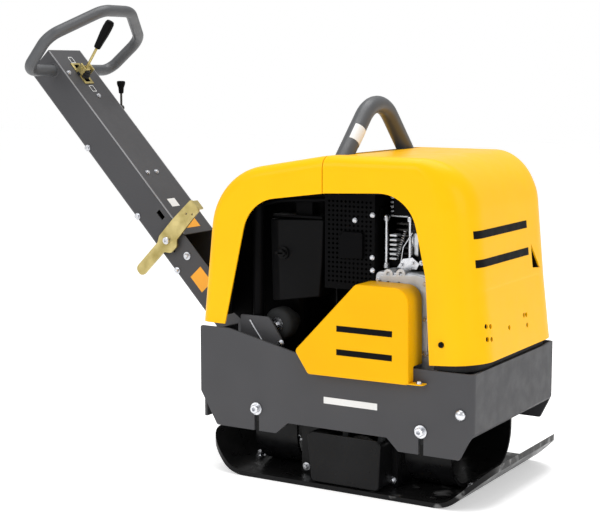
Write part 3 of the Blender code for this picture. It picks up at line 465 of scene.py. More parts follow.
# %% [markdown]
# ## Geometry Nodes for what repeats
# Bolts, fins, ribs and perforations repeat. Three small trees make them all: one puts a fastener on each
# marked point, one repeats a shape with a step and a turn, and one tiles a pierced cell. Each ends in
# Realize Instances and Set Material, and the result is kept as a plain mesh.
# %% Tree helpers
def new_tree(name, sockets):
    tree = bpy.data.node_groups.new(name, "GeometryNodeTree")
    tree.is_modifier = True
    tree.interface.new_socket("Geometry", in_out="INPUT", socket_type="NodeSocketGeometry")
    for label, kind in sockets:
        tree.interface.new_socket(label, in_out="INPUT", socket_type="NodeSocket" + kind)
    tree.interface.new_socket("Geometry", in_out="OUTPUT", socket_type="NodeSocketGeometry")
    return tree, tree.nodes.new("NodeGroupInput").outputs


def add(tree, kind, inputs=(), **settings):
    """Add a node; an input is given a value or is linked to another node's socket."""
    node = tree.nodes.new(kind)
    for label, value in settings.items():
        setattr(node, label, value)
    for label, value in dict(inputs).items():
        socket = node.inputs[label]
        if isinstance(value, bpy.types.NodeSocket):
            tree.links.new(value, socket)
        else:
            socket.default_value = value
    return node.outputs[0]


def close_tree(tree, geometry, material):
    real = add(tree, "GeometryNodeRealizeInstances", {"Geometry": geometry})
    welded = add(tree, "GeometryNodeMergeByDistance", {"Geometry": real, "Distance": 1e-5})
    painted = add(tree, "GeometryNodeSetMaterial", {"Geometry": welded, "Material": material})
    tree.links.new(painted, tree.nodes.new("NodeGroupOutput").inputs[0])
    return tree


def grown(name, mesh, tree, values):
    """Run a tree on a mesh and keep the result as a plain mesh object."""
    item = draft(name, mesh)
    modifier = item.modifiers.new("tree", "NODES")
    modifier.node_group = tree
    for socket in tree.interface.items_tree:
        if socket.in_out == "INPUT" and socket.name in values:
            modifier[socket.identifier] = values[socket.name]
    return settled(item)


# %% Fasteners, repeats and pierced sheets
def fastener_tree():
    """A head with a chamfered top on a washer, on each point, along the point's facing."""
    tree, given = new_tree("fasteners", [("Sides", "Int"), ("Head", "Float"), ("Height", "Float"),
                                         ("Washer", "Float"), ("Finish", "Material")])
    washer_thick = 0.0016
    washer = add(tree, "GeometryNodeMeshCylinder", {"Vertices": 28, "Radius": given["Washer"],
                                                    "Depth": washer_thick})
    stem = add(tree, "GeometryNodeMeshCylinder", {"Vertices": given["Sides"], "Radius": given["Head"],
                                                  "Depth": given["Height"]})
    half = add(tree, "ShaderNodeMath", {0: given["Height"], 1: 0.5}, operation="MULTIPLY")
    lift = add(tree, "ShaderNodeCombineXYZ", {"Z": half})
    stem = add(tree, "GeometryNodeTransform", {"Geometry": stem, "Translation": lift})
    tip = add(tree, "ShaderNodeMath", {0: given["Head"], 1: 0.72}, operation="MULTIPLY")
    dome = add(tree, "ShaderNodeMath", {0: given["Height"], 1: 0.30}, operation="MULTIPLY")
    brim = add(tree, "ShaderNodeMath", {0: given["Head"], 1: 0.96}, operation="MULTIPLY")
    crown = add(tree, "GeometryNodeMeshCone", {"Vertices": given["Sides"], "Radius Top": tip,
                                               "Radius Bottom": brim, "Depth": dome})
    rise = add(tree, "ShaderNodeCombineXYZ", {"Z": given["Height"]})
    crown = add(tree, "GeometryNodeTransform", {"Geometry": crown, "Translation": rise})
    whole = tree.nodes.new("GeometryNodeJoinGeometry")
    for part in (washer, stem, crown):
        tree.links.new(part, whole.inputs[0])
    facing = add(tree, "GeometryNodeInputNamedAttribute", {"Name": "facing"}, data_type="FLOAT_VECTOR")
    turn = add(tree, "FunctionNodeAlignRotationToVector", {"Vector": facing}, axis="Z")
    copies = add(tree, "GeometryNodeInstanceOnPoints", {"Points": given["Geometry"],
                                                        "Instance": whole.outputs[0], "Rotation": turn})
    return close_tree(tree, copies, given["Finish"])


def repeat_tree():
    """Count copies of the mesh, each a step and a turn further than the last."""
    tree, given = new_tree("repeats", [("Count", "Int"), ("Step", "Vector"), ("Turn", "Vector"),
                                       ("Finish", "Material")])
    line = add(tree, "GeometryNodeMeshLine", {"Count": given["Count"], "Offset": given["Step"]})
    index = add(tree, "GeometryNodeInputIndex")
    turn = add(tree, "ShaderNodeVectorMath", {"Vector": given["Turn"], "Scale": index},
               operation="SCALE")
    copies = add(tree, "GeometryNodeInstanceOnPoints", {"Points": line, "Instance": given["Geometry"],
                                                        "Rotation": turn})
    return close_tree(tree, copies, given["Finish"])


FASTENERS, REPEATS = fastener_tree(), repeat_tree()


def bolts(name, body, spots, head, height, washer, sides=6, finish="zinc"):
    """Fasteners at (place, facing) spots."""
    bm = bmesh.new()
    for place, facing in spots:
        bm.verts.new(place)
    mesh = mesh_from(bm, name)
    outward = mesh.attributes.new("facing", "FLOAT_VECTOR", "POINT")
    for index, (place, facing) in enumerate(spots):
        outward.data[index].vector = facing
    item = grown(name, mesh, FASTENERS, {"Sides": sides, "Head": head, "Height": height,
                                         "Washer": washer, "Finish": FINISH[finish]})
    return piece(item, body, finish)


def repeated(name, mesh, count, finish, step=(0, 0, 0), turn=(0, 0, 0)):
    return grown(name, mesh, REPEATS, {"Count": count, "Step": step, "Turn": turn, "Finish": finish})


print("trees:", [tree.name for tree in bpy.data.node_groups])

# %% [markdown]
# ## The base plate
# One thick plate with both ends turned up, its corners rounded in plan. It is bent from a strip, trimmed
# to its plan, and its rim rounded by wear. The rim's bare metal is a vertex attribute, so that the paint
# is rubbed through exactly where the plate strikes the ground.
# %% Base plate
plate_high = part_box("base_plate")[1]
PLATE_TIP, PLATE_HALF = plate_high.x, plate_high.y
PLATE_FLAT, PLATE_BEND, PLATE_RISE, PLATE_THICK = 0.230, 0.080, radians(42), 0.010
PLATE_CORNER = 0.075


def rim_distance(x, y):
    """How far a point of the plan is from the plate's rim."""
    along, across = PLATE_TIP - abs(x), PLATE_HALF - abs(y)
    if along < PLATE_CORNER and across < PLATE_CORNER:
        return PLATE_CORNER - hypot(PLATE_CORNER - along, PLATE_CORNER - across)
    return min(along, across)


def worn_paint(paint, metal_colour, low=0.56, high=0.90):
    """Let the wear attribute, broken up by a noise, uncover bare metal through a paint."""
    nodes, links = paint.node_tree.nodes, paint.node_tree.links
    shader = nodes["Principled BSDF"]
    wear = nodes.new("ShaderNodeAttribute")
    wear.attribute_name = "wear"
    place = nodes.new("ShaderNodeTexCoord")
    spots = nodes.new("ShaderNodeTexNoise")
    spots.inputs["Scale"].default_value = 26
    spots.inputs["Detail"].default_value = 5
    links.new(place.outputs["Object"], spots.inputs["Vector"])
    both = nodes.new("ShaderNodeMath")
    both.operation = "MULTIPLY"
    links.new(wear.outputs["Fac"], both.inputs[0])
    links.new(spots.outputs["Fac"], both.inputs[1])
    share = nodes.new("ShaderNodeMapRange")
    share.inputs["From Min"].default_value = low
    share.inputs["From Max"].default_value = high
    links.new(both.outputs["Value"], share.inputs["Value"])
    mix = nodes.new("ShaderNodeMix")
    mix.data_type = "RGBA"
    links.new(share.outputs["Result"], mix.inputs["Factor"])
    links.new(shader.inputs["Base Color"].links[0].from_socket, mix.inputs["A"])
    mix.inputs["B"].default_value = (*metal_colour, 1)
    links.new(mix.outputs["Result"], shader.inputs["Base Color"])
    links.new(share.outputs["Result"], shader.inputs["Metallic"])
    return paint


def base_plate():
    bend_x = PLATE_FLAT + PLATE_BEND * sin(PLATE_RISE)
    bend_z = PLATE_BEND * (1 - cos(PLATE_RISE))
    beyond = PLATE_TIP + 0.02
    front = arc((PLATE_FLAT, PLATE_BEND), PLATE_BEND, -pi / 2, -pi / 2 + PLATE_RISE, 14)
    front.append((beyond, bend_z + (beyond - bend_x) * tan(PLATE_RISE)))
    path = [(-x, z) for x, z in reversed(front)] + front
    plate = thick(draft("base_plate_fine", folded(path, "XZ", -PLATE_HALF, PLATE_HALF)), PLATE_THICK, -1)
    tip, half, turn = PLATE_TIP, PLATE_HALF, PLATE_CORNER
    corners = [(tip, half, turn), (-tip, half, turn), (-tip, -half, turn), (tip, -half, turn)]
    cut(plate, prism(rounded(corners, 20), "XY", -0.1, 0.3), "INTERSECT")
    eased(plate, 0.0022, 3)
    wear = plate.data.attributes.new("wear", "FLOAT", "POINT")
    for index, vert in enumerate(plate.data.vertices):
        on_rim = rim_distance(vert.co.x, vert.co.y) < 0.0012
        wear.data[index].value = (1.0 if vert.co.x > 0.1 else 0.7) if on_rim else 0.0
    paint = worn_paint(FINISH["base_black"].copy(), (0.50, 0.50, 0.50))
    return piece(plate, "base", "base_black", ["base_plate"], paint)


print("base plate:", len(base_plate().data.polygons), "faces")

# %% [markdown]
# ## Cradles and the exciter's surroundings
# A bent U of thick plate stands across each end of the base and holds two rubber mounts. The weld along
# its foot is a thin bead, and hex bolts with washers hold the feet. The exciter between them is a plain
# casting, so its covers get their screws and cooling ribs here.
# %% Cradles, welds and base bolts
CRADLE_THICK, CRADLE_BEND = 0.008, 0.080


def cradle(name, node):
    low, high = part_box(node)
    half, foot, top = high.y, low.z, high.z
    path = rounded([(-half, top, 0), (-half, foot, CRADLE_BEND), (half, foot, CRADLE_BEND),
                    (half, top, 0)], 16, closed=False)
    item = thick(draft(name, folded(path, "YZ", low.x, high.x)), CRADLE_THICK)
    piece(eased(item, 0.0012), "base", "base_black", [node])
    flat = half - CRADLE_BEND
    beads = [tube([(x, -flat, foot + 0.001), (x, flat, foot + 0.001)], 0.0032, resolution=2)
             for x in (low.x, high.x)]
    made(name + "_welds", together(*beads), "base", "base_black")


cradle("front_cradle_fine", "front_cradle")
cradle("rear_cradle_fine", "rear_cradle")
bolt_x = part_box("front_cradle")[1].x + 0.022
base_bolt_z = PLATE_THICK + 0.0008
bolt_spots = [((side * bolt_x, y, base_bolt_z + 0.0055), (-side * 0.16, 0, 1))
              for side in (-1, 1) for y in (-0.105, -0.055, 0.055, 0.105)]
bolts("base_bolts", "base", bolt_spots, 0.0085, 0.0075, 0.0125)
cover_low, cover_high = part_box("exciter_cover_right")
spots = [((x, side * (-cover_low.y + 0.0009), z), (0, side, 0)) for side in (-1, 1)
         for x in (cover_low.x + 0.012, 0.0, cover_high.x - 0.012)
         for z in (cover_low.z + 0.014, cover_high.z - 0.014)]
bolts("exciter_cover_screws", "base", spots, 0.0062, 0.0055, 0.0088)
rib = block((cover_low.x + 0.018, -0.128, -0.004), (cover_low.x + 0.022, 0.128, 0.009))
ribs = repeated("exciter_ribs", rib, 7, FINISH["base_black"], step=(0.0320, 0, 0))
ribs.data.transform(Matrix.Translation((0, 0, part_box("exciter_housing")[1].z)))
piece(eased(ribs, 0.0012), "base", "base_black")


# %% Cover of the exciter pulley
def lower_belt_cover():
    low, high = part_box("lower_belt_cover")
    foot_front = high.x - 0.005
    outline = rounded([(low.x + 0.012, low.z, 0.010), (foot_front, low.z, 0.010),
                       (high.x, high.z, 0.014), (low.x, high.z, 0.014)], 6)
    cover = draft("lower_belt_cover_fine", prism(outline, "XZ", low.y, high.y))
    eased(cover, 0.004, 3)
    wall = 0.003
    inside = [(low.x + 0.016, low.z + wall), (foot_front - wall, low.z + wall),
              (high.x - wall - 0.001, high.z - 0.016), (low.x + wall, high.z - 0.016)]
    cut(cover, prism(inside, "XZ", low.y + wall, 0))
    cut(cover, block((-0.020, low.y + wall, 0.08), (foot_front, 0, 0.2)))
    return piece(cover, "base", "base_black", ["lower_belt_cover"])


lower_belt_cover()
print("base bolts:", len(bolt_spots), "cover screws:", len(spots))

# %% [markdown]
# ## Chassis sides and front panel
# The real chassis reads as one folded plate round three sides, so one sheet is folded round the plan and
# trimmed by its side view: the notch over the exciter, the cut-away front corner, and open slots that let
# the mount bolts be lifted out.
# %% Chassis
side_low, side_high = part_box("side_plate_right")
panel_low, panel_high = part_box("front_panel")
SIDE_OUT, SIDE_THICK = -side_low.y, 0.006
FRAME_TOP, PANEL_LOW, PANEL_X = panel_high.z, panel_low.z, panel_high.x
REAR_X, REAR_TOP = side_low.x, side_high.z
MOUNT_X, MOUNT_Z = 0.199, 0.154
CORNER_X, CORNER_Z = 0.287, 0.199
ACROSS = (-0.3, 0.3)  # past both sides of the machine, for cuts that go right through


def chassis_shell():
    fold = 0.014
    path = rounded([(REAR_X, -SIDE_OUT, 0), (PANEL_X, -SIDE_OUT, fold), (PANEL_X, SIDE_OUT, fold),
                    (REAR_X, SIDE_OUT, 0)], 10, closed=False)
    shell = thick(draft("chassis_shell", folded(path, "XY", 0.09, 0.34)), SIDE_THICK)
    beyond = PANEL_X + 0.01
    side_view = [(0.285, 0.105, 0.004), (0.147, 0.105, 0.004), (0.120, 0.131, 0.006),
                 (-0.120, 0.131, 0.006), (-0.150, 0.105, 0.004), (-0.303, 0.105, 0.006),
                 (REAR_X, 0.178, 0.006), (REAR_X, REAR_TOP, 0.004), (-0.270, REAR_TOP, 0.03),
                 (-0.100, 0.287, 0.06), (-0.060, FRAME_TOP, 0.06), (beyond, FRAME_TOP, 0),
                 (beyond, PANEL_LOW, 0), (0.3115, PANEL_LOW, 0)]
    cut(shell, prism(rounded(side_view, 5), "XZ", *ACROSS), "INTERSECT")
    for x in (-MOUNT_X, MOUNT_X):
        slot = arc((x, MOUNT_Z), 0.006, pi, 0, 14) + [(x + 0.006, 0.09), (x - 0.006, 0.09)]
        cut(shell, prism(slot, "XZ", *ACROSS))
    cut(shell, rod((CORNER_X, 0, CORNER_Z), "Y", 0.0056, *ACROSS))
    eased(shell, 0.0010)
    return piece(shell, "chassis", "frame_grey", ["side_plate_right", "side_plate_left", "front_panel"])


chassis = chassis_shell()
print("chassis:", len(chassis.data.polygons), "faces")

# %% [markdown]
# ## Bolts in the chassis
# The mount bolts are socket-head screws on a wide washer, and the corner bolts have a low dome. Turned
# profiles make both. The hexagon socket is cut into the head, because it is what catches the eye.
# %% Mount and corner bolts
def socket_bolt(node, x, side):
    face = SIDE_OUT + 0.0003
    head = [(0, face - 0.0042), (0.0054, face - 0.0042), (0.0054, face), (0.0132, face),
            (0.0140, face + 0.0008), (0.0140, face + 0.0024), (0.0132, face + 0.003),
            (0.0092, face + 0.003), (0.0092, face + 0.0108), (0.0082, face + 0.012),
            (0, face + 0.012)]
    head = [(radius, height * side) for radius, height in head]
    bolt = draft(node + "_fine", turned(head, (x, 0, MOUNT_Z), "Y"))
    ends = sorted((side * (face + 0.005), side * (face + 0.02)))
    cut(bolt, rod((x, 0, MOUNT_Z), "Y", 0.0050, *ends, sides=6))
    piece(bolt, "chassis", "zinc", [node], sharp=30)


def dome_bolt(node, side):
    face = SIDE_OUT + 0.0003
    dome = [(0.0115 * cos(turn * pi / 16), face + 0.0012 + 0.0075 * sin(turn * pi / 16))
            for turn in range(8)]
    profile = [(0, face - 0.014), (0.005, face - 0.014), (0.005, face), (0.0115, face)]
    profile += dome + [(0, face + 0.0087)]
    profile = [(radius, height * side) for radius, height in profile]
    made(node + "_fine", turned(profile, (CORNER_X, 0, CORNER_Z), "Y"), "chassis", "zinc", [node])


bar_y = SIDE_OUT + 0.0001
plain_bar = block((-0.030, -bar_y - 0.0004, 0.186), (0.098, -bar_y, 0.200))
made("side_bar", plain_bar, "chassis", "frame_grey", finish=PRINT["white"])
for word, side in (("right", -1), ("left", 1)):
    dome_bolt("corner_bolt_" + word, side)
    for place, x in (("front", MOUNT_X), ("rear", -MOUNT_X)):
        socket_bolt("slot_bolt_%s_%s" % (place, word), x, side)
print("chassis bolts: 6")

# %% [markdown]
# ## The hood
# The hood is a thin moulding in two halves. Its skin is a loft: at every point of the side view a quarter
# round joins the sides to the roof, tight at the back and wide at the nose. The rows are fine enough for
# a soft rib to be raised on the nose. The wall comes last: its inner side takes the black lining.
# %% Hood skin
front_low, front_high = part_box("hood_front")
rear_low, rear_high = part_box("hood_rear")
HOOD_HALF, HOOD_TOP, HOOD_WALL = front_high.y, front_high.z, 0.0035
ROOF_EDGE, NOSE_EDGE = 0.026, 0.070
HOOD_SIDE_VIEW = [
    (front_high.x, 0.300, 0), (0.308, 0.440, 0.6), (0.282, HOOD_TOP, 0.115), (-0.030, HOOD_TOP, 0.3),
    (-0.315, 0.662, 0.150), (rear_low.x, 0.333, 0), (-0.250, 0.333, 0), (0.200, 0.291, 0),
]
SIDE_OPENING = [
    (0.216, 0.250, 0), (0.203, 0.470, 0.2), (0.165, 0.638, 0.085), (0.087, 0.636, 0),
    (-0.033, 0.631, 0.2), (-0.221, 0.606, 0.09), (-0.292, 0.300, 0), (-0.292, 0.250, 0),
]
LINING = finish_recipe("hood_lining", (0.010, 0.010, 0.010), 0.85, patch=0.3, grain=0.8,
                       grain_scale=260, depth=0.0015)
RIB_Z, RIB_HALF, RIB_END = 0.456, 0.0060, 0.125


def divided(points, longest):
    """Split the long stretches of an open path so that no step is longer than asked."""
    result = []
    for one, two in zip(points, points[1:]):
        parts = max(1, int(hypot(two[0] - one[0], two[1] - one[1]) / longest))
        result += [(one[0] + (two[0] - one[0]) * k / parts, one[1] + (two[1] - one[1]) * k / parts)
                   for k in range(parts)]
    return result + points[-1:]


def rib_height(y, z):
    """A soft bead across the nose that dies away towards the machine's left."""
    share = max(0.0, min(1.0, (RIB_END + 0.03 - y) / 0.03))
    return 0.0030 * share * 2.718 ** (-((z - RIB_Z) / RIB_HALF) ** 2)


def corner_radius(x):
    nose = min(max((x - 0.18) / 0.10, 0), 1)
    return ROOF_EDGE + (NOSE_EDGE - ROOF_EDGE) * nose


def skin_row(point, inward):
    """Points across the machine: a flat margin, the quarter round, the roof, and back down."""
    radius = corner_radius(point.x)
    half_row = [(radius + 0.006, HOOD_HALF)]
    half_row += [(radius * (1 - sin(radians(turn))), HOOD_HALF - radius * (1 - cos(radians(turn))))
                 for turn in range(0, 91, 10)]
    half_row += [(0, (HOOD_HALF - radius) * (1 - step / 11)) for step in range(1, 11)]
    whole = half_row + [(0, 0)] + [(depth, -y) for depth, y in half_row[::-1]]
    return [(point.x + inward.x * depth, y, point.y + inward.y * depth) for depth, y in whole]


def hood_skin():
    view = rounded(HOOD_SIDE_VIEW, 14)
    path = [Vector(point) for point in divided(view[:-2], 0.016)]
    bottom = [Vector(point) for point in view[-2:]]
    bm = bmesh.new()
    rows = []
    for index, point in enumerate(path):
        if index == 0:
            inward = bottom[1] - point
        elif index == len(path) - 1:
            inward = bottom[0] - point
        else:
            along = path[index + 1] - path[index - 1]
            inward = Vector((-along.y, along.x))
        rows.append([bm.verts.new(place) for place in skin_row(point, inward.normalized())])
    for one, two in zip(rows, rows[1:]):
        for k in range(len(one) - 1):
            bm.faces.new((one[k], two[k], two[k + 1], one[k + 1]))
    for column, side in ((0, 1), (-1, -1)):
        ring = [row[column] for row in rows]
        ring += [bm.verts.new((x, side * HOOD_HALF, z)) for x, z in bottom]
        bm.faces.new(ring[::-side])
    for vert in bm.verts:
        if vert.co.x > 0.24:
            vert.co.x += rib_height(vert.co.y, vert.co.z)
    return mesh_from(bm, "hood_skin", outwards=False)


SKIN = hood_skin()
print("hood skin:", len(SKIN.polygons), "faces")

# %% [markdown]
# ## Hood halves and their openings
# Both halves start from the same skin. Cutters take away the side openings, the other half, the slot for
# the lifting arch, the drawbar's notch at the back, and the small holes and the cooling slit in the nose.
# %% Hood halves
NOSE_HOLES = [(-0.161, 0.373), (-0.145, 0.371), (-0.161, 0.347), (-0.145, 0.345), (-0.052, 0.355),
              (0.030, 0.369), (0.043, 0.368), (0.043, 0.346)]
ARCH_X, ARCH_SLOT = -0.025, 0.025


def hood_half(node, low_x, high_x, extra):
    mesh = SKIN.copy()
    mesh.materials.append(FINISH["hood_yellow"])
    mesh.materials.append(LINING)
    half = thick(draft(node + "_fine", mesh), HOOD_WALL, -1, inner_slot=1, even=False)
    cut(half, prism(rounded(SIDE_OPENING, 12), "XZ", *ACROSS))
    cut(half, block((low_x, -0.3, 0.2), (high_x, 0.3, 0.8)))
    cut(half, block((ARCH_X - ARCH_SLOT, -0.175, 0.68), (ARCH_X + ARCH_SLOT, 0.175, 0.75)))
    for shape in extra:
        cut(half, shape)
    return piece(half, "chassis", "hood_yellow", [node], KEPT, sharp=32)


holes = together(*[rod((0, y, z), "X", 0.0054, 0.2, 0.4, 20) for y, z in NOSE_HOLES])
slit = prism([(0.100, 0.515), (0.100, 0.462), (0.140, 0.458)], "YZ", 0.26, 0.4)
notch = rounded([(-0.086, 0.25, 0), (0.086, 0.25, 0), (0.086, 0.663, 0.03), (-0.086, 0.663, 0.03)], 8)
hood_half("hood_front", -0.5, front_low.x, [holes, slit])
hood_half("hood_rear", rear_high.x, 0.5, [prism(notch, "YZ", -0.45, -0.235)])
bolts("hood_side_bolts", "chassis", [((0.240, side * (HOOD_HALF + 0.0008), 0.337), (0, side, 0))
                                     for side in (-1, 1)], 0.0052, 0.0035, 0.0062, 20, "black_plastic")
NODES["hood_seal"].data.materials[0] = FINISH["rubber"]
print("nose holes:", len(NOSE_HOLES))


# %% [markdown]
# ## Plain printed bars
# The nose and the belt guard carry plain black bars. Each bar is a thin film: a slice of the same skin,
# lifted a fraction of a millimetre, so that it bends with the moulding beneath it.
# %% Bars on the nose
def film_on_skin(name, shape, finish):
    mesh = SKIN.copy()
    mesh.materials.clear()
    film = draft(name, mesh)
    thick(film, 0.0005, 1, even=False)
    cut(film, shape, "INTERSECT")
    return piece(film, "chassis", "hood_yellow", finish=finish)


NOSE_BAR_LOWS, NOSE_BAR_TALL = (0.5500, 0.4920), 0.0160
nose_bars = together(*[block((0.24, -0.176, low), (0.40, 0.083, low + NOSE_BAR_TALL))
                       for low in NOSE_BAR_LOWS])
film_on_skin("nose_bars", nose_bars, PRINT["black"])

# %% [markdown]
# ## Lifting arch and its frame
# A thick tube is bent into a pointed arch over the machine's centre of mass. It stands on two bent tubes
# under the roof that carry the load down to the deck. Both are a path with rounded corners and a round
# section, and the arch has flanges where it passes through the roof.
# %% Lifting gear
arch_low, arch_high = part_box("lifting_arch")
rail_low, rail_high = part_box("lifting_frame_right")
RAIL_RADIUS = (rail_high.y - rail_low.y) / 2
RAIL_Y = -(rail_high.y + rail_low.y) / 2
ARCH_RADIUS = (arch_high.x - arch_low.x) / 2
ARCH_FOOT = arch_low.z


def arch_points():
    shoulder = 0.683
    path = rounded([(-RAIL_Y, ARCH_FOOT, 0), (-RAIL_Y, shoulder, 0.03), (0, shoulder + RAIL_Y, 0.089),
                    (RAIL_Y, shoulder, 0.03), (RAIL_Y, ARCH_FOOT, 0)], 18, closed=False)
    return [(ARCH_X, y, z) for y, z in path]


def lifting_gear():
    made("lifting_arch_fine", tube(arch_points(), ARCH_RADIUS, resolution=10), "chassis", "tube_grey",
         ["lifting_arch"])
    for name, side in (("right", -1), ("left", 1)):
        path = rounded([(rail_low.x + RAIL_RADIUS, rail_low.z, 0),
                        (rail_low.x + RAIL_RADIUS, rail_high.z - RAIL_RADIUS, 0.045),
                        (rail_high.x - RAIL_RADIUS, rail_high.z - RAIL_RADIUS, 0.045),
                        (rail_high.x - RAIL_RADIUS, rail_low.z, 0)], 10, closed=False)
        points = [(x, side * RAIL_Y, z) for x, z in path]
        made("lifting_frame_%s_fine" % name, tube(points, RAIL_RADIUS), "chassis", "engine_black",
             ["lifting_frame_" + name])
        made("arch_foot_" + name, turned([(0.0195, 0), (0.030, 0), (0.030, 0.006), (0.0255, 0.0085),
                                          (0.0195, 0.0085)], (ARCH_X, side * RAIL_Y, ARCH_FOOT), "Z"),
             "chassis", "engine_black")


def arch_label():
    """A plain white label that hugs the front of the arch's right leg."""
    low, high = Vector((ARCH_X, -0.118, 0.7300)), Vector((ARCH_X, -0.088, 0.7600))
    run = (high - low).normalized()
    sleeve = draft("arch_label", tube([low + run * 0.002, high], ARCH_RADIUS + 0.0006, resolution=10))
    cut(sleeve, block((ARCH_X + 0.004, -0.2, 0.6), (ARCH_X + 0.1, 0.0, 0.9)), "INTERSECT")
    piece(sleeve, "chassis", "tube_grey", finish=PRINT["white"])


lifting_gear()
arch_label()
print("arch radius:", round(ARCH_RADIUS, 4))

# %% [markdown]
# ## Belt guard
# The guard is one deep pressing in the same yellow: a cut corner at the back, a big radius at the front
# top, and a foot that is screwed down at the front. It is a rounded block that is hollowed from behind.
# %% Belt guard
guard_low, guard_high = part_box("belt_guard")
GUARD_WALL = 0.003


def belt_guard():
    out, inner = guard_low.y, guard_high.y
    corners = [(0.181, 0.252, 0.008), (0.178, 0.450, 0.032), (0.057, 0.450, 0.014),
               (guard_low.x, 0.298, 0.010), (-0.056, 0.250, 0.010)]
    guard = draft("belt_guard_fine", prism(rounded(corners, 10), "XZ", out, inner + 0.02))
    eased(guard, 0.0045, 3)
    wall = GUARD_WALL
    inside = [(0.178, 0.255, 0.005), (0.175, 0.447, 0.029), (0.0583, 0.447, 0.011),
              (guard_low.x + 0.004, 0.2978, 0.007), (-0.0544, 0.253, 0.007)]
    cut(guard, prism(rounded(inside, 10), "XZ", out + wall, 0))
    cut(guard, block((-0.2, inner, 0.2), (0.3, 0.1, 0.5)))
    cut(guard, block((-0.2, -SIDE_OUT - 0.0006, 0.2), (0.3, 0, 0.2875)))
    piece(guard, "chassis", "guard_yellow", ["belt_guard"], sharp=30)
    foot = prism(rounded([(0.160, out + 0.002, 0), (0.212, out + 0.004, 0.010),
                          (0.212, -SIDE_OUT - 0.0008, 0.002), (0.160, -SIDE_OUT - 0.0008, 0)], 6), "XY",
                 0.2535, 0.2560)
    made("belt_guard_foot", foot, "chassis", "guard_yellow", ease=0.0006)
    bars = together(*[block((0.0145, out - 0.0005, low), (0.1440, out + 0.0002, low + 0.0125))
                      for low in (0.3480, 0.2985)])
    made("belt_guard_bars", bars, "chassis", "guard_yellow", finish=PRINT["black"])


belt_guard()
bolts("belt_guard_screw", "chassis", [((0.2000, (guard_low.y - SIDE_OUT) / 2, 0.2566), (0, 0, 1))],
      0.0045, 0.004, 0.0065)
print("guard wall:", GUARD_WALL)

# %% [markdown]
# ## Engine block
# The engine is a single-cylinder unit with its crankshaft across the machine. Only its right side shows
# through the hood, so the block gets its parting line, bosses and bolt holes there, and the fins of
# cylinder and head come from the repeat tree.
# %% Crankcase, cylinder and head
case_low, case_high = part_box("crankcase")
head_low, head_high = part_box("cylinder_head")
cylinder_low, cylinder_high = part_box("cylinder")
CRANK_X, CRANK_Z = JOINTS["clutch_spin"]["pos_m"][0], JOINTS["clutch_spin"]["pos_m"][2]
SIDE_FACE, CRANK_BORE = case_low.y, 0.0135


def crankcase():
    outline = rounded([(case_low.x, case_low.z, 0.006), (case_high.x, case_low.z, 0.006),
                       (case_high.x, case_high.z - 0.010, 0.012), (case_low.x + 0.110, case_high.z, 0.006),
                       (case_low.x, case_high.z, 0.012)], 6)
    block_item = eased(draft("crankcase_fine", prism(outline, "XZ", SIDE_FACE + 0.004, case_high.y)),
                       0.004, 3)
    cut(block_item, rod((CRANK_X, 0, CRANK_Z), "Y", CRANK_BORE, -0.2, -0.150))
    ports = ((0.097, 0.448), (0.122, 0.448))
    for x, z in ports:
        cut(block_item, rod((x, 0, z), "Y", 0.0035, -0.2, SIDE_FACE + 0.012, 16))
    cover = rounded([(case_low.x + 0.004, 0.300, 0.01), (0.188, 0.300, 0.01), (0.192, 0.462, 0.014),
                     (case_low.x + 0.096, 0.468, 0.008), (case_low.x + 0.004, 0.462, 0.014)], 6)
    plate = eased(draft("side_cover", prism(cover, "XZ", SIDE_FACE + 0.0005, SIDE_FACE + 0.012)), 0.002)
    cut(plate, rod((CRANK_X, 0, CRANK_Z), "Y", CRANK_BORE, -0.2, -0.150))
    for x, z in ports:
        cut(plate, rod((x, 0, z), "Y", 0.0035, -0.2, -0.1, 16))
    ring = [(0.0045, SIDE_FACE + 0.0003), (0.0105, SIDE_FACE + 0.0003), (0.0105, SIDE_FACE + 0.03),
            (0.0045, SIDE_FACE + 0.03)]
    bosses = [turned(ring, (x, 0, z), "Y", 28) for x, z in ((0.097, 0.466), (0.126, 0.468))]
    screws = [(x, z) for x in (case_low.x + 0.010, 0.184) for z in (0.306, 0.378, 0.452)]
    pads = [rod((x, 0, z), "Y", 0.0070, SIDE_FACE + 0.0003, SIDE_FACE + 0.03, 24) for x, z in screws]
    castings = together(block_item, plate, *bosses, *pads)
    made("crankcase_fine", castings, "chassis", "cast_aluminium", ["crankcase"])
    spots = [((x, SIDE_FACE - 0.0003, z), (0, -1, 0)) for x, z in screws]
    bolts("crankcase_screws", "chassis", spots, 0.0045, 0.004, 0.0062)
    rib = eased(draft("rib", block((case_high.x - 0.004, -0.150, -0.0020),
                                   (case_high.x + 0.0055, 0.100, 0.0020))), 0.0008)
    ribs = repeated("crankcase_ribs", rib.data, 5, FINISH["cast_aluminium"], step=(0, 0, 0.034))
    ribs.data.transform(Matrix.Translation((0, 0, 0.285)))
    bpy.data.objects.remove(rib)
    piece(ribs, "chassis", "cast_aluminium")


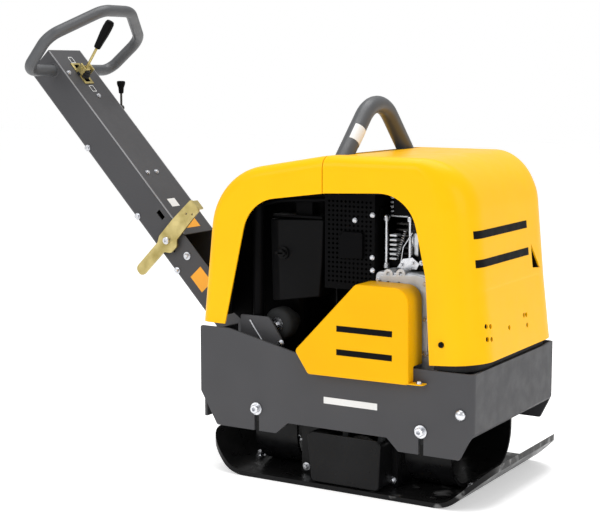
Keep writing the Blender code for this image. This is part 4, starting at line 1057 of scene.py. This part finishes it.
def cylinder_and_head():
    centre = ((cylinder_low + cylinder_high) / 2).to_2d()
    half, pitch, count = 0.046, 0.0125, 8
    fin = prism(rounded([(-half, -half, 0.016), (half, -half, 0.016), (half, half, 0.016),
                         (-half, half, 0.016)], 6), "XY", 0, 0.0030)
    fins = repeated("fins", fin, count, FINISH["cast_aluminium"], step=(0, 0, pitch))
    fins.data.transform(Matrix.Translation((*centre, cylinder_low.z + 0.006)))
    bore = rod((*centre, 0), "Z", 0.036, cylinder_low.z, cylinder_high.z - 0.0003, 40)
    made("cylinder_fine", together(fins, bore), "chassis", SLOT_OF["cylinder"], ["cylinder"],
         FINISH["cast_iron"])
    lower = head_low.z
    body = block((head_low.x + 0.014, head_low.y + 0.014, lower), (head_high.x - 0.014,
                 head_high.y - 0.014, head_high.z - 0.002))
    slab = prism(rounded([(head_low.x, head_low.y, 0.008), (head_high.x, head_low.y, 0.008),
                          (head_high.x, head_high.y, 0.008), (head_low.x, head_high.y, 0.008)], 5),
                 "XY", 0, 0.0034)
    stack = repeated("stack", slab, 5, FINISH["cast_aluminium"], step=(0, 0, 0.0094))
    stack.data.transform(Matrix.Translation((0, 0, lower + 0.0005)))
    made("cylinder_head_fine", together(body, stack), "chassis", "cast_aluminium", ["cylinder_head"])


crankcase()
cylinder_and_head()


# %% [markdown]
# ## Small parts in front of the cylinder
# Between the fins and the viewer sit two bright tubes for the push rods, black air deflectors, and the
# carburettor with its rods and return spring. They are small, so turned bodies and thin tubes are enough.
# %% Push-rod tubes, deflectors and carburettor
def helix(centre, axis_end, radius, turns, steps=14):
    start, end = Vector(centre), Vector(axis_end)
    axis = (end - start)
    side = axis.orthogonal().normalized()
    up = axis.normalized().cross(side)
    total = int(turns * steps)
    return [start + axis * k / total + side * radius * cos(2 * pi * k / steps)
            + up * radius * sin(2 * pi * k / steps) for k in range(total + 1)]


def engine_trim():
    face, places = -0.140, (0.075, 0.131)
    tubes = [rod((x, face, 0), "Z", 0.0042, 0.478, 0.584, 20) for x in places]
    tubes += [turned([(0, 0), (0.0075, 0), (0.0075, 0.008), (0.0055, 0.011), (0, 0.011)],
                     (x, face, z), "Z", 24) for x in places for z in (0.474, 0.574)]
    made("pushrod_tubes", together(*tubes), "chassis", "zinc")
    plates = [block((0.064, -0.150, 0.478), (0.0655, -0.060, 0.600)),
              block((0.152, -0.146, 0.478), (0.205, -0.1445, 0.605)),
              block((0.064, -0.131, 0.478), (0.176, -0.1300, 0.500)),
              block((0.0866, -0.1312, 0.584), (0.205, -0.1300, 0.628))]
    made("air_deflectors", together(*plates), "chassis", "engine_black")
    fin_end = eased(draft("fin_end", block((0.084, -0.143, 0), (0.100, -0.120, 0.0042))), 0.0008)
    strip = repeated("fin_ends", fin_end.data, 6, FINISH["cast_aluminium"], step=(0, 0, 0.0098))
    strip.data.transform(Matrix.Translation((0, 0, 0.492)))
    piece(strip, "chassis", "cast_aluminium")
    bpy.data.objects.remove(fin_end)
    throat = turned([(0, 0), (0.014, 0), (0.014, 0.004), (0.010, 0.006), (0.010, 0.024),
                     (0.014, 0.026), (0.014, 0.030), (0, 0.030)], (0.134, -0.128, 0.535), "X", 28)
    bowl = turned([(0, 0), (0.009, 0), (0.0125, 0.004), (0.0125, 0.018), (0.014, 0.020),
                   (0.014, 0.023), (0, 0.023)], (0.149, -0.130, 0.502), "Z", 28)
    body = eased(draft("body", block((0.140, -0.141, 0.522), (0.158, -0.118, 0.550))), 0.002)
    made("carburettor", together(throat, bowl, body), "chassis", "cast_aluminium")
    wires = [tube([(0.112, -0.146, 0.486), (0.118, -0.147, 0.520), (0.139, -0.147, 0.552)], 0.0013,
                  resolution=2),
             tube(helix((0.104, -0.146, 0.500), (0.122, -0.146, 0.556), 0.0032, 12), 0.0007,
                  resolution=1)]
    plate = prism([(0.104, 0.476), (0.150, 0.476), (0.156, 0.488), (0.140, 0.500), (0.118, 0.496)],
                  "XZ", -0.1485, -0.1465)
    made("governor_linkage", together(*wires, plate), "chassis", "zinc")
    bolts("engine_trim_screws", "chassis",
          [((x, -0.1487, z), (0, -1, 0)) for x, z in ((0.116, 0.484), (0.142, 0.489))]
          + [((x, -0.1465, z), (0, -1, 0)) for x, z in ((0.160, 0.590), (0.196, 0.590), (0.160, 0.490))],
          0.0036, 0.003, 0.005)


engine_trim()
print("engine trim in place")

# %% [markdown]
# ## Pierced guard over the silencer
# The silencer is a can behind a pierced sheet. The sheet's cells are one square with a diamond hole,
# tiled by a grid in Geometry Nodes and welded into one skin, with a plain frame and a raised cover on it.
# %% Pierced sheet tree, silencer and guard
muffler_low, muffler_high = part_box("muffler_guard")


def pierced_tree():
    tree, given = new_tree("pierced_sheet", [("Columns", "Int"), ("Rows", "Int"), ("Width", "Float"),
                                             ("Tall", "Float"), ("Finish", "Material")])
    grid = add(tree, "GeometryNodeMeshGrid", {"Size X": given["Width"], "Size Y": given["Tall"],
                                              "Vertices X": given["Columns"], "Vertices Y": given["Rows"]})
    stand = add(tree, "GeometryNodeTransform", {"Geometry": grid, "Rotation": (pi / 2, 0, 0)})
    copies = add(tree, "GeometryNodeInstanceOnPoints", {"Points": stand,
                                                        "Instance": given["Geometry"]})
    return close_tree(tree, copies, given["Finish"])


def diamond_cell(pitch, hole, wall):
    """One square of sheet in the XZ plane with a diamond hole through it."""
    bm = bmesh.new()
    outer = [(x * pitch / 2, z * pitch / 2) for x, z in ((-1, -1), (0, -1), (1, -1), (1, 0), (1, 1),
                                                         (0, 1), (-1, 1), (-1, 0))]
    inner = [(x * hole / 2, z * hole / 2) for x, z in ((-0.5, -0.5), (0, -1), (0.5, -0.5), (1, 0),
                                                       (0.5, 0.5), (0, 1), (-0.5, 0.5), (-1, 0))]
    rings = [[bm.verts.new((x, y, z)) for x, z in ring] for y in (0, wall) for ring in (outer, inner)]
    front_out, front_in, back_out, back_in = rings
    for k in range(8):
        j = (k + 1) % 8
        bm.faces.new((front_out[k], front_out[j], front_in[j], front_in[k]))
        bm.faces.new((back_out[j], back_out[k], back_in[k], back_in[j]))
        bm.faces.new((front_in[k], front_in[j], back_in[j], back_in[k]))
    return mesh_from(bm)


def silencer():
    low, high = muffler_low, muffler_high
    pitch = 0.0100
    columns, rows = 11, 18
    face = low.y
    middle = ((low.x + high.x) / 2, face, (low.z + high.z) / 2)
    sheet = grown("sheet", diamond_cell(pitch, 0.0068, 0.0012), pierced_tree(),
                  {"Columns": columns, "Rows": rows, "Width": pitch * (columns - 1),
                   "Tall": pitch * (rows - 1), "Finish": FINISH["engine_black"]})
    sheet.data.transform(Matrix.Translation(middle))
    bm = bmesh.new()
    bm.from_mesh(sheet.data)
    bmesh.ops.bridge_loops(bm, edges=[edge for edge in bm.edges if edge.is_boundary])
    bmesh.ops.recalc_face_normals(bm, faces=bm.faces)
    bm.to_mesh(sheet.data)
    bm.free()
    edge_x, edge_z = pitch * columns / 2, pitch * rows / 2
    frame_parts = []
    for one, two in (((low.x, low.z), (high.x, middle[2] - edge_z)),
                     ((low.x, middle[2] + edge_z), (high.x, high.z)),
                     ((low.x, middle[2] - edge_z), (middle[0] - edge_x, middle[2] + edge_z)),
                     ((middle[0] + edge_x, middle[2] - edge_z), (high.x, middle[2] + edge_z))):
        frame_parts.append(block((one[0], face, one[1]), (two[0], face + 0.002, two[1])))
    box = block((low.x, face + 0.001, low.z), (high.x, high.y, high.z))
    shroud = draft("shroud", box)
    cut(shroud, block((low.x + 0.002, face - 0.01, low.z + 0.002), (high.x - 0.002, 0, high.z - 0.002)))
    made("muffler_guard_fine", together(sheet, shroud, *frame_parts), "chassis", "engine_black",
         ["muffler_guard"])
    can = turned([(0, 0), (0.030, 0), (0.040, 0.006), (0.042, 0.012), (0.042, 0.146), (0.040, 0.152),
                  (0.030, 0.158), (0, 0.158)], ((low.x + high.x) / 2, low.y + 0.056, low.z + 0.018), "Z")
    made("silencer", can, "chassis", "engine_black")
    raised = rounded([(-0.020, 0.491, 0.004), (0.036, 0.493, 0.004), (0.036, 0.549, 0.004),
                      (-0.010, 0.549, 0.004), (-0.020, 0.540, 0.004)], 5)
    cover = draft("silencer_cover", prism(raised, "XZ", face - 0.007, face + 0.001))
    eased(cover, 0.0022, 3)
    piece(cover, "chassis", "engine_black")
    bolts("silencer_screws", "chassis", [((x, face - 0.0007, z), (0, -1, 0)) for x, z in
                                         ((0.015, 0.573), (0.057, 0.586), (0.057, 0.497),
                                          (0.058, 0.470))], 0.0046, 0.0035, 0.0052, 20)


silencer()
print("silencer guard from x", round(muffler_low.x, 3), "to", round(muffler_high.x, 3))


# %% [markdown]
# ## Air filter, fuel tank and starter
# The filter box has a creased cover held by one knob: a flat facet at the back, a crease, and a broad
# front that leans in towards its foot. The tank is a blown plastic box, so a block with a wide bevel
# gives its soft corners. The starter's louvres turn about the crankshaft's line.
# %% Plastic boxes
def air_filter():
    low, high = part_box("air_filter_box")
    bm = bmesh.new()
    crease = low.x + 0.028
    outer = [(low.x, low.y + 0.012), (crease, low.y), (high.x, low.y + 0.010), (high.x, high.y),
             (low.x, high.y)]
    levels = [(low.z, 0.13, 0.014), (low.z + 0.090, 0.0, 0.005), (high.z - 0.004, 0.03, 0.0)]
    rings = []
    for z, slope, lean in levels:
        rings.append([bm.verts.new((min(x, high.x - lean), y + lean * 0.6 if y < -0.15 else y,
                                    z + slope * (x - low.x))) for x, y in outer])
    for one, two in zip(rings, rings[1:]):
        for k in range(5):
            j = (k + 1) % 5
            bm.faces.new((one[k], one[j], two[j], two[k]))
    bm.faces.new(list(reversed(rings[0])))
    bm.faces.new(rings[-1])
    box = eased(draft("air_filter_fine", mesh_from(bm)), 0.004, 4, 12)
    piece(box, "chassis", "black_plastic", ["air_filter_box"], sharp=50)
    centre = (low.x + 0.038, 0, 0.494)
    back_y = low.y + 0.001
    knob = turned([(0, back_y + 0.004), (0.015, back_y + 0.004), (0.014, back_y - 0.001),
                   (0.009, back_y - 0.003), (0.009, back_y - 0.010), (0.006, back_y - 0.012),
                   (0, back_y - 0.012)], centre, "Y", 32)
    wing = eased(draft("wing", block((centre[0] - 0.013, back_y - 0.012, centre[2] - 0.003),
                                     (centre[0] + 0.013, back_y - 0.003, centre[2] + 0.003))), 0.0015)
    made("air_filter_knob", together(knob, wing), "chassis", "black_plastic")
    bar = [tube([(-0.250, -0.145, 0.592), (-0.175, -0.148, 0.606), (-0.066, -0.148, 0.612)], 0.006),
           block((-0.190, -0.166, 0.5712), (-0.066, -0.108, 0.5760)),
           block((-0.140, -0.150, 0.5755), (-0.100, -0.120, 0.6060))]
    made("filter_carrier", together(*bar), "chassis", "engine_black")


def fuel_tank():
    low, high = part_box("fuel_tank")
    tank = eased(draft("fuel_tank_fine", block(low, high)), 0.020, 5)
    seam_z = (low.z + high.z) / 2
    band = eased(draft("band", block((low.x - 0.0015, low.y + 0.0008, seam_z - 0.003),
                                     (high.x + 0.0015, high.y + 0.0015, seam_z + 0.003))), 0.0012)
    made_tank = draft("fuel_tank_fine", together(tank.data, band.data))
    for spare in (tank, band):
        bpy.data.objects.remove(spare)
    piece(made_tank, "chassis", "black_plastic", ["fuel_tank"])
    place = JOINTS["fuel_cap_turn"]["pos_m"]
    cap_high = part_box("fuel_cap")[1].z - place[2]
    cap = turned([(0, 0), (0.0235, 0), (0.0235, cap_high - 0.004), (0.0200, cap_high),
                  (0.0060, cap_high), (0, cap_high - 0.0008)], (0, 0, 0), "Z")
    ridge = block((0.0225, -0.0016, 0.0006), (0.0258, 0.0016, cap_high - 0.005))
    ridges = repeated("ridges", ridge, 22, FINISH["black_plastic"], turn=(0, 0, 2 * pi / 22))
    whole = together(cap, ridges)
    whole.transform(Matrix.Translation(place))
    made("fuel_cap_fine", whole, "fuel_cap", "black_plastic", ["fuel_cap"])


def starter():
    low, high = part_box("recoil_starter")
    centre = ((low.x + high.x) / 2, 0, (low.z + high.z) / 2)
    radius = (high.x - low.x) / 2
    profile = [(0, low.y), (radius, low.y), (radius, high.y - 0.014), (radius - 0.006, high.y - 0.008),
               (0.050, high.y - 0.002), (0.030, high.y), (0.020, high.y), (0.016, high.y - 0.006),
               (0, high.y - 0.006)]
    drum = turned(profile, centre, "Y", 56)
    louvre = prism([(0.024, -0.0022), (0.056, -0.0022), (0.056, 0.0022), (0.024, 0.0022)], "XZ",
                   high.y - 0.006, high.y + 0.0012)
    louvres = repeated("louvres", louvre, 24, FINISH["engine_black"], turn=(0, 2 * pi / 24, 0))
    louvres.data.transform(Matrix.Translation(centre))
    made("recoil_starter_fine", together(drum, louvres), "chassis", "engine_black",
         ["recoil_starter"])


air_filter()
fuel_tank()
starter()


# %% [markdown]
# ## Inside walls and the buffer
# Black sheets stand between the engine and the tank side as painted shade, so that the bay reads as a
# dark space, as it does on the real machine. The rubber buffer with its bolt, and the bracket beside it,
# sit low at the back of the opening where light still reaches them.
# %% Painted shade sheets, buffer and bracket
def bay_walls():
    # painted shade: black sheets behind the engine and beside the tank make the bay read dark
    shroud = [block((-0.070, 0.020, 0.4705), (0.205, 0.0225, 0.6280)),
              block((0.2025, -0.020, 0.4705), (0.205, 0.0200, 0.6280)),
              block((-0.157, 0.060, 0.2300), (0.062, 0.0625, 0.4700))]
    made("bay_shade_sheets", together(*shroud), "chassis", "engine_black", ease=0.0005)
    flange = [(-0.2900, 0.303), (-0.3452, 0.340), (-0.3180, 0.598), (-0.2900, 0.598)]
    flanges = [prism(flange, "XZ", low, low + 0.0015) for low in (-0.0965, 0.0950)]
    made("recess_flanges", together(*flanges), "chassis", "engine_black")


def buffer_and_bracket():
    low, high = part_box("rubber_buffer")
    centre = ((low.x + high.x) / 2, 0, (low.z + high.z) / 2)
    radius = (high.x - low.x) / 2
    profile = [(0, high.y), (0.020, high.y), (0.020, -0.126), (radius - 0.003, -0.126), (radius, -0.130),
               (radius, -0.153), (radius - 0.004, -0.160), (radius - 0.012, -0.163), (0.014, -0.163),
               (0.012, -0.160), (0, -0.160)]
    made("rubber_buffer_fine", turned(profile, centre, "Y", 48), "chassis", "rubber", ["rubber_buffer"])
    bolts("buffer_bolt", "chassis", [((centre[0], -0.1640, centre[2]), (0, -1, 0))], 0.0065, 0.006,
          0.0160)
    arm = rounded([(-0.262, 0.284, 0.004), (-0.176, 0.284, 0.006), (-0.150, 0.296, 0.006),
                   (-0.188, 0.352, 0.012), (-0.262, 0.352, 0.004)], 5)
    made("buffer_arm", prism(arm, "XZ", -0.186, -0.180), "chassis", "frame_grey", ease=0.0008)
    edge = tube([(-0.236, -0.1875, 0.342), (-0.222, -0.1875, 0.322), (-0.206, -0.1875, 0.300)], 0.0022)
    made("buffer_rod", edge, "chassis", "zinc")
    bolts("buffer_arm_bolt", "chassis", [((-0.158, -0.1868, 0.297), (0, -1, 0))], 0.0060, 0.005, 0.009,
          20)


bay_walls()
buffer_and_bracket()
print("bay walls and buffer in place")

# %% [markdown]
# ## The drawbar
# The drawbar leans back about a pin. Its pieces are easier to draw upright and turn afterwards, so this
# frame has its Z up the drawbar and its X towards the top face. The channel is folded plate: its long
# outer edges keep a bend radius, and a cover plate closes it, with a painted highlight along each side edge.
# %% Drawbar frame, channel and cover
POLE = (Matrix.Translation(JOINTS["drawbar_pivot"]["pos_m"])
        @ Matrix.Rotation(-radians(JOINTS["drawbar_pivot"]["range_deg"][1]), 4, "Y"))


def on_pole(node):
    """A node's lowest and highest corner along the drawbar's own axes."""
    points = [POLE.inverted() @ vert.co for vert in NODES[node].data.vertices]
    return (Vector([min(point[k] for point in points) for k in range(3)]),
            Vector([max(point[k] for point in points) for k in range(3)]))


def pole_piece(name, mesh, body, slot, stands_for=(), finish=None, ease=0.0, sharp=40):
    item = draft(name, mesh)
    if ease:
        eased(item, ease)
    item.data.transform(POLE)
    return piece(item, body, slot, stands_for, finish, sharp)


def pole_bolts(name, spots, head, height, washer, sides=6):
    turn = POLE.to_3x3()
    placed = [(POLE @ Vector(place), turn @ Vector(facing)) for place, facing in spots]
    return bolts(name, "drawbar", placed, head, height, washer, sides)


channel_low, channel_high = on_pole("drawbar_channel")
cover_plate_low, cover_plate_high = on_pole("drawbar_cover")
loop_low, loop_high = on_pole("handle_loop")
POLE_END = channel_high.z
LOOP_UP = (loop_low.z + loop_high.z) / 2
LOOP_RADIUS = (loop_high.z - loop_low.z) / 2
LOOP_BASE = loop_low.x + LOOP_RADIUS
LEVER_UP = 0.857
POLE_WALL = 0.004


def drawbar():
    low, high = channel_low, channel_high
    bend = 0.009
    section = rounded([(low.x, low.y, bend), (high.x, low.y, 0), (high.x, high.y, 0),
                       (low.x, high.y, bend)], 8)
    channel = draft("drawbar_channel_fine", prism(section, "XY", low.z, high.z))
    wall = POLE_WALL
    inside = rounded([(low.x + wall, low.y + wall, bend - wall), (0.1, low.y + wall, 0),
                      (0.1, high.y - wall, 0), (low.x + wall, high.y - wall, bend - wall)], 8)
    cut(channel, prism(inside, "XY", low.z - 0.02, high.z - wall))
    cut(channel, rod((0, 0, 0), "Y", 0.0105, -0.1, 0.1))
    cut(channel, rod((LOOP_BASE, 0, LOOP_UP), "Y", LOOP_RADIUS + 0.0004, -0.1, 0.1, 48))
    cut(channel, block((0.014, -0.1, 0.412), (0.026, 0, 0.436)))
    eased(channel, 0.0010)
    channel.data.transform(POLE)
    piece(channel, "drawbar", "frame_grey", ["drawbar_channel"])
    low, high = cover_plate_low, cover_plate_high
    cover = draft("drawbar_cover_fine", block(low, high))
    opening = rounded([(-0.010, LEVER_UP - 0.030, 0.008), (0.010, LEVER_UP - 0.030, 0.008),
                       (0.010, LEVER_UP + 0.030, 0.008), (-0.010, LEVER_UP + 0.030, 0.008)], 5)
    cut(cover, prism(opening, "YZ", 0, 0.1))
    eased(cover, 0.0009)
    cover.data.transform(POLE)
    piece(cover, "drawbar", "frame_grey", ["drawbar_cover"])
    # painted highlight: thin lighter strips along the cover's side edges stand for the light caught on its edges
    edges = [block((low.x + 0.0006, side - 0.0002, low.z + 0.004), (high.x - 0.0002, side + 0.0002,
                                                                   high.z - 0.004))
             for side in (low.y, high.y)]
    edges += [block((high.x - 0.0002, side - 0.0011, low.z + 0.004), (high.x + 0.00006, side + 0.0011,
                                                                     high.z - 0.004))
              for side in (low.y + 0.0012, high.y - 0.0012)]
    pole_piece("cover_edge_highlights", together(*edges), "drawbar", "frame_grey", finish=PRINT["edge"])


drawbar()


# %% Handle loop and its welds
def handle_loop():
    up = LOOP_BASE
    corners = [(up, -0.157, 0.035), (up, 0.157, 0.035), (up + 0.1150, 0.177, 0.050),
               (up + 0.2080, 0.053, 0.07), (up + 0.2080, -0.053, 0.07), (up + 0.1150, -0.177, 0.050)]
    points = [(out, y, LOOP_UP) for out, y in rounded(corners, 14)]
    pole_piece("handle_loop_fine", tube(points, LOOP_RADIUS - 0.0006, cyclic=True, resolution=10),
               "drawbar", "tube_grey", ["handle_loop"])
    collars = [turned([(LOOP_RADIUS + 0.0002, height), (LOOP_RADIUS + 0.0035, height),
                       (LOOP_RADIUS + 0.0002, height + side * 0.0035)],
                      (LOOP_BASE, 0, LOOP_UP), "Y", 40)
               for side, height in ((-1, channel_low.y), (1, channel_high.y))]
    pole_piece("handle_welds", together(*collars), "drawbar", "frame_grey")


handle_loop()
top = cover_plate_high.x
face = channel_low.y
pole_bolts("cover_screws", [((top + 0.0009, 0.0, 0.783), (1, 0, 0)),
                            ((top + 0.0009, -0.030, 0.535), (1, 0, 0)),
                            ((top + 0.0009, 0.005, 0.535), (1, 0, 0)),
                            ((top + 0.0009, -0.048, 0.860), (1, 0, 0))], 0.0046, 0.0035, 0.0062, 20)
pole_bolts("wall_screws", [((-0.034, side * (-face + 0.0009), s), (0, side, 0)) for side in (-1, 1)
                           for s in (0.683, 0.465, 0.297)], 0.0055, 0.0050, 0.0080, 20)
pole_bolts("lower_bolt", [((0.012, side * (-face + 0.0009), 0.304), (0, side, 0)) for side in (-1, 1)],
           0.0065, 0.0050, 0.0095)
print("drawbar length:", round(POLE_END - channel_low.z, 3))

# %% [markdown]
# ## Travel lever
# The lever stands in a zinc fork on the cover, sealed by a rubber boot with two folds. Its rod is bright
# and its grip is moulded: slim at the rod, full in the palm and rounded at the top.
# %% Travel lever
pivot_lever = POLE.inverted() @ Vector(JOINTS["travel_lever_pivot"]["pos_m"])
LEVER_TURN = (Matrix.Translation(pivot_lever) @ Matrix.Rotation(radians(-12), 4, "Y")
              @ Matrix.Translation(-pivot_lever))


def travel_lever():
    base = top + 0.0003
    up = pivot_lever.z
    fork = draft("lever_fork", block((base, -0.0165, up - 0.034), (pivot_lever.x + 0.009, 0.0165,
                                                                   up + 0.034)))
    cut(fork, block((base + 0.0025, -0.0130, 0.5), (0.2, 0.0130, 1.2)))
    for low, high in ((up - 0.05, up - 0.011), (up + 0.011, up + 0.05)):
        cut(fork, block((base + 0.0025, -0.03, low), (0.2, 0.03, high)))
    cut(fork, block((0, -0.009, up - 0.028), (0.2, 0.009, up + 0.028)))
    eased(fork, 0.0007)
    fork.data.transform(POLE)
    piece(fork, "drawbar", "yellow_zinc", ["lever_bracket"])
    boot_profile = [(0.0060, 0.0006), (0.0175, 0.0006), (0.0175, 0.0060), (0.0130, 0.0085),
                    (0.0160, 0.0120), (0.0110, 0.0150), (0.0125, 0.0180), (0.0060, 0.0205)]
    boot = turned([(radius, base + height) for radius, height in boot_profile], (0, 0, up), "X", 36)
    boot.transform(Matrix.Translation((0, 0, -0.002)))
    pole_piece("lever_boot", boot, "drawbar", "rubber")
    rod_end, grip_end = 0.134, 0.199
    stem = together(rod(pivot_lever, "Y", 0.0035, -0.0185, 0.0185, 24),
                    rod(pivot_lever, "Y", 0.0080, -0.006, 0.006, 32),
                    rod((0, 0, up), "X", 0.0034, 0.046, rod_end, 24))
    stem.transform(LEVER_TURN)
    pole_piece("travel_lever_fine", stem, "travel_lever", "zinc", ["travel_lever"], FINISH["yellow_zinc"],
               ease=0.0006)
    start = rod_end - 0.012
    grip_profile = [(0.0040, start), (0.0078, start), (0.0086, start + 0.003), (0.0096, start + 0.018),
                    (0.0114, start + 0.040), (0.0118, start + 0.058), (0.0112, grip_end - 0.006),
                    (0.0092, grip_end - 0.001), (0.0050, grip_end), (0, grip_end), (0, rod_end + 0.0003),
                    (0.0040, rod_end + 0.0003)]
    grip = turned(grip_profile, (0, 0, up), "X", 40)
    grip.transform(LEVER_TURN)
    pole_piece("lever_grip_fine", grip, "travel_lever", "black_plastic", ["lever_grip"], sharp=60)


travel_lever()

# %% [markdown]
# ## Throttle lever
# A small lever with a flared knob stands on a flat bracket on the drawbar's left wall. Its cable clamp is
# a short folded tab lower down.
# %% Throttle
pivot_throttle = POLE.inverted() @ Vector(JOINTS["throttle_pivot"]["pos_m"])
THROTTLE_TURN = (Matrix.Translation(pivot_throttle)
                 @ Matrix.Rotation(radians(JOINTS["drawbar_pivot"]["range_deg"][1]), 4, "Y")
                 @ Matrix.Translation(-pivot_throttle))


def throttle():
    low, high = on_pole("throttle_bracket")
    outline = rounded([(low.x, low.z, 0.004), (high.x, low.z, 0.002), (high.x, high.z, 0.002),
                       (low.x, high.z, 0.006)], 6)
    bracket = draft("throttle_bracket_fine", prism(outline, "XZ", low.y, high.y))
    cut(bracket, rod((pivot_throttle.x, 0, pivot_throttle.z), "Y", 0.0040, 0.05, 0.1, 24))
    tab = block((low.x + 0.003, high.y - 0.0002, low.z + 0.004), (high.x - 0.003, high.y + 0.010,
                                                                  low.z + 0.0058))
    pole_piece("throttle_bracket_fine", together(bracket, tab), "drawbar", "zinc", ["throttle_bracket"])
    x, y, z = pivot_throttle
    inner = low.y
    stem = rod(pivot_throttle, "Z", 0.0028, 0.0, 0.047, 20)
    stem.transform(THROTTLE_TURN)
    lever = together(rod((x, 0, z), "Y", 0.0070, inner + 0.0045, y + 0.004, 32),
                     rod((x, 0, z), "Y", 0.0035, inner + 0.0005, y, 24), stem)
    pole_piece("throttle_lever_fine", lever, "throttle", "zinc", ["throttle_lever"],
               FINISH["cast_iron"], ease=0.0005)
    profile = [(0.0030, 0.036), (0.0055, 0.036), (0.0062, 0.040), (0.0070, 0.050), (0.0100, 0.058),
               (0.0106, 0.0625), (0.0098, 0.0660), (0.0070, 0.0670), (0, 0.0672), (0, 0.0473),
               (0.0030, 0.0473)]
    knob = turned(profile, pivot_throttle, "Z", 36)
    knob.transform(THROTTLE_TURN)
    pole_piece("throttle_knob_fine", knob, "throttle", "black_plastic", ["throttle_knob"], sharp=60)


throttle()
print("levers in place")

# %% [markdown]
# ## Latch
# A laser-cut lever in yellow zinc turns on a bolt in the drawbar's right wall. A black spring is wound
# behind it, and its upper end is folded in to hook the frame when the drawbar stands upright.
# %% Latch lever, bolt and spring
def latch():
    up = (POLE.inverted() @ Vector(JOINTS["latch_pivot"]["pos_m"])).z
    low, high = on_pole("latch_lever")
    outer = low.y
    inner = outer + 0.005
    corners = [(-0.118, up - 0.0165, 0.012), (-0.118, up + 0.0115, 0.012), (-0.024, up + 0.0145, 0.012),
               (-0.010, up + 0.0225, 0.012), (0.045, up + 0.0260, 0.05), (0.120, up + 0.0255, 0.006),
               (0.120, up - 0.0085, 0.006), (0.022, up - 0.0170, 0.010), (0.012, up - 0.0290, 0.012),
               (-0.012, up - 0.0290, 0.012), (-0.026, up - 0.0140, 0.010)]
    lever = draft("latch_lever_fine", prism(rounded(corners, 7), "XZ", outer, inner))
    cut(lever, block((0.1155, outer + 0.001, up - 0.004), (0.1195, high.y, up + 0.021)), "UNION")
    cut(lever, rod((0, 0, up), "Y", 0.0054, -0.1, 0, 28))
    cut(lever, together(*[rod((out, 0, up + along), "Y", 0.0028, -0.1, 0, 16)
                          for out, along in ((0.098, -0.002), (0.086, 0.010))]))
    eased(lever, 0.0007)
    lever.data.transform(POLE)
    piece(lever, "latch", "yellow_zinc", ["latch_lever"])
    wall, cap = face - 0.0003, outer - 0.0008
    profile = [(0, wall), (0.010, wall), (0.010, inner + 0.0008), (0.0050, inner + 0.0008),
               (0.0050, cap), (0.0088, cap), (0.0088, cap - 0.0046), (0.0076, cap - 0.0060),
               (0, cap - 0.0060)]
    bolt = draft("latch_bolt_fine", turned(profile, (0, 0, up), "Y", 40))
    cut(bolt, rod((0, 0, up), "Y", 0.0042, -0.2, cap - 0.003, sides=6))
    bolt.data.transform(POLE)
    piece(bolt, "drawbar", "zinc", ["latch_bolt"], sharp=30)
    coil = helix((0, inner + 0.0014, up), (0, wall - 0.0012, up), 0.0125, 2.5, 24)
    tail = [(0.0, coil[-1].y, up - 0.0125), (-0.010, coil[-1].y, up - 0.030)]
    spring = tube([tuple(point) for point in coil] + tail, 0.0011, resolution=2)
    pole_piece("latch_spring", spring, "drawbar", "engine_black")


latch()
print("latch in place")

# %% [markdown]
# ## Labels on the drawbar
# Plain films stand in for the printed labels: two small white outlines that mark forward and reverse, a
# white patch, and two plain orange patches. Each is a fifth of a millimetre thick.
# %% Labels
FILM = 0.0003


def label_on_top(y0, y1, s0, s1):
    return block((top + 0.0001, y0, s0), (top + FILM, y1, s1))


def label_on_wall(n0, n1, s0, s1):
    return block((n0, face - FILM, s0), (n1, face - 0.0001, s1))


def outline_label(y, s, wide, tall, line=0.0016):
    return [label_on_top(y - wide, y + wide, s - tall, s - tall + line),
            label_on_top(y - wide, y + wide, s + tall - line, s + tall),
            label_on_top(y - wide, y - wide + line, s - tall, s + tall),
            label_on_top(y + wide - line, y + wide, s - tall, s + tall)]


white = outline_label(0.000, 0.903, 0.0080, 0.0100) + outline_label(0.000, 0.808, 0.0080, 0.0100)
white.append(label_on_top(-0.030, 0.0, 0.428, 0.452))
pole_piece("white_labels", together(*white), "drawbar", "frame_grey", finish=PRINT["white"])
orange = [label_on_top(-0.045, 0.020, 0.362, 0.392), label_on_wall(-0.015, 0.024, 0.215, 0.262)]
pole_piece("orange_labels", together(*orange), "drawbar", "frame_grey", finish=PRINT["orange"])
print("labels:", len(white), "white films and", len(orange), "orange films")

# %% [markdown]
# ## Finish
# The last call updates the view layer.
# %% Finish
bpy.context.view_layer.update()
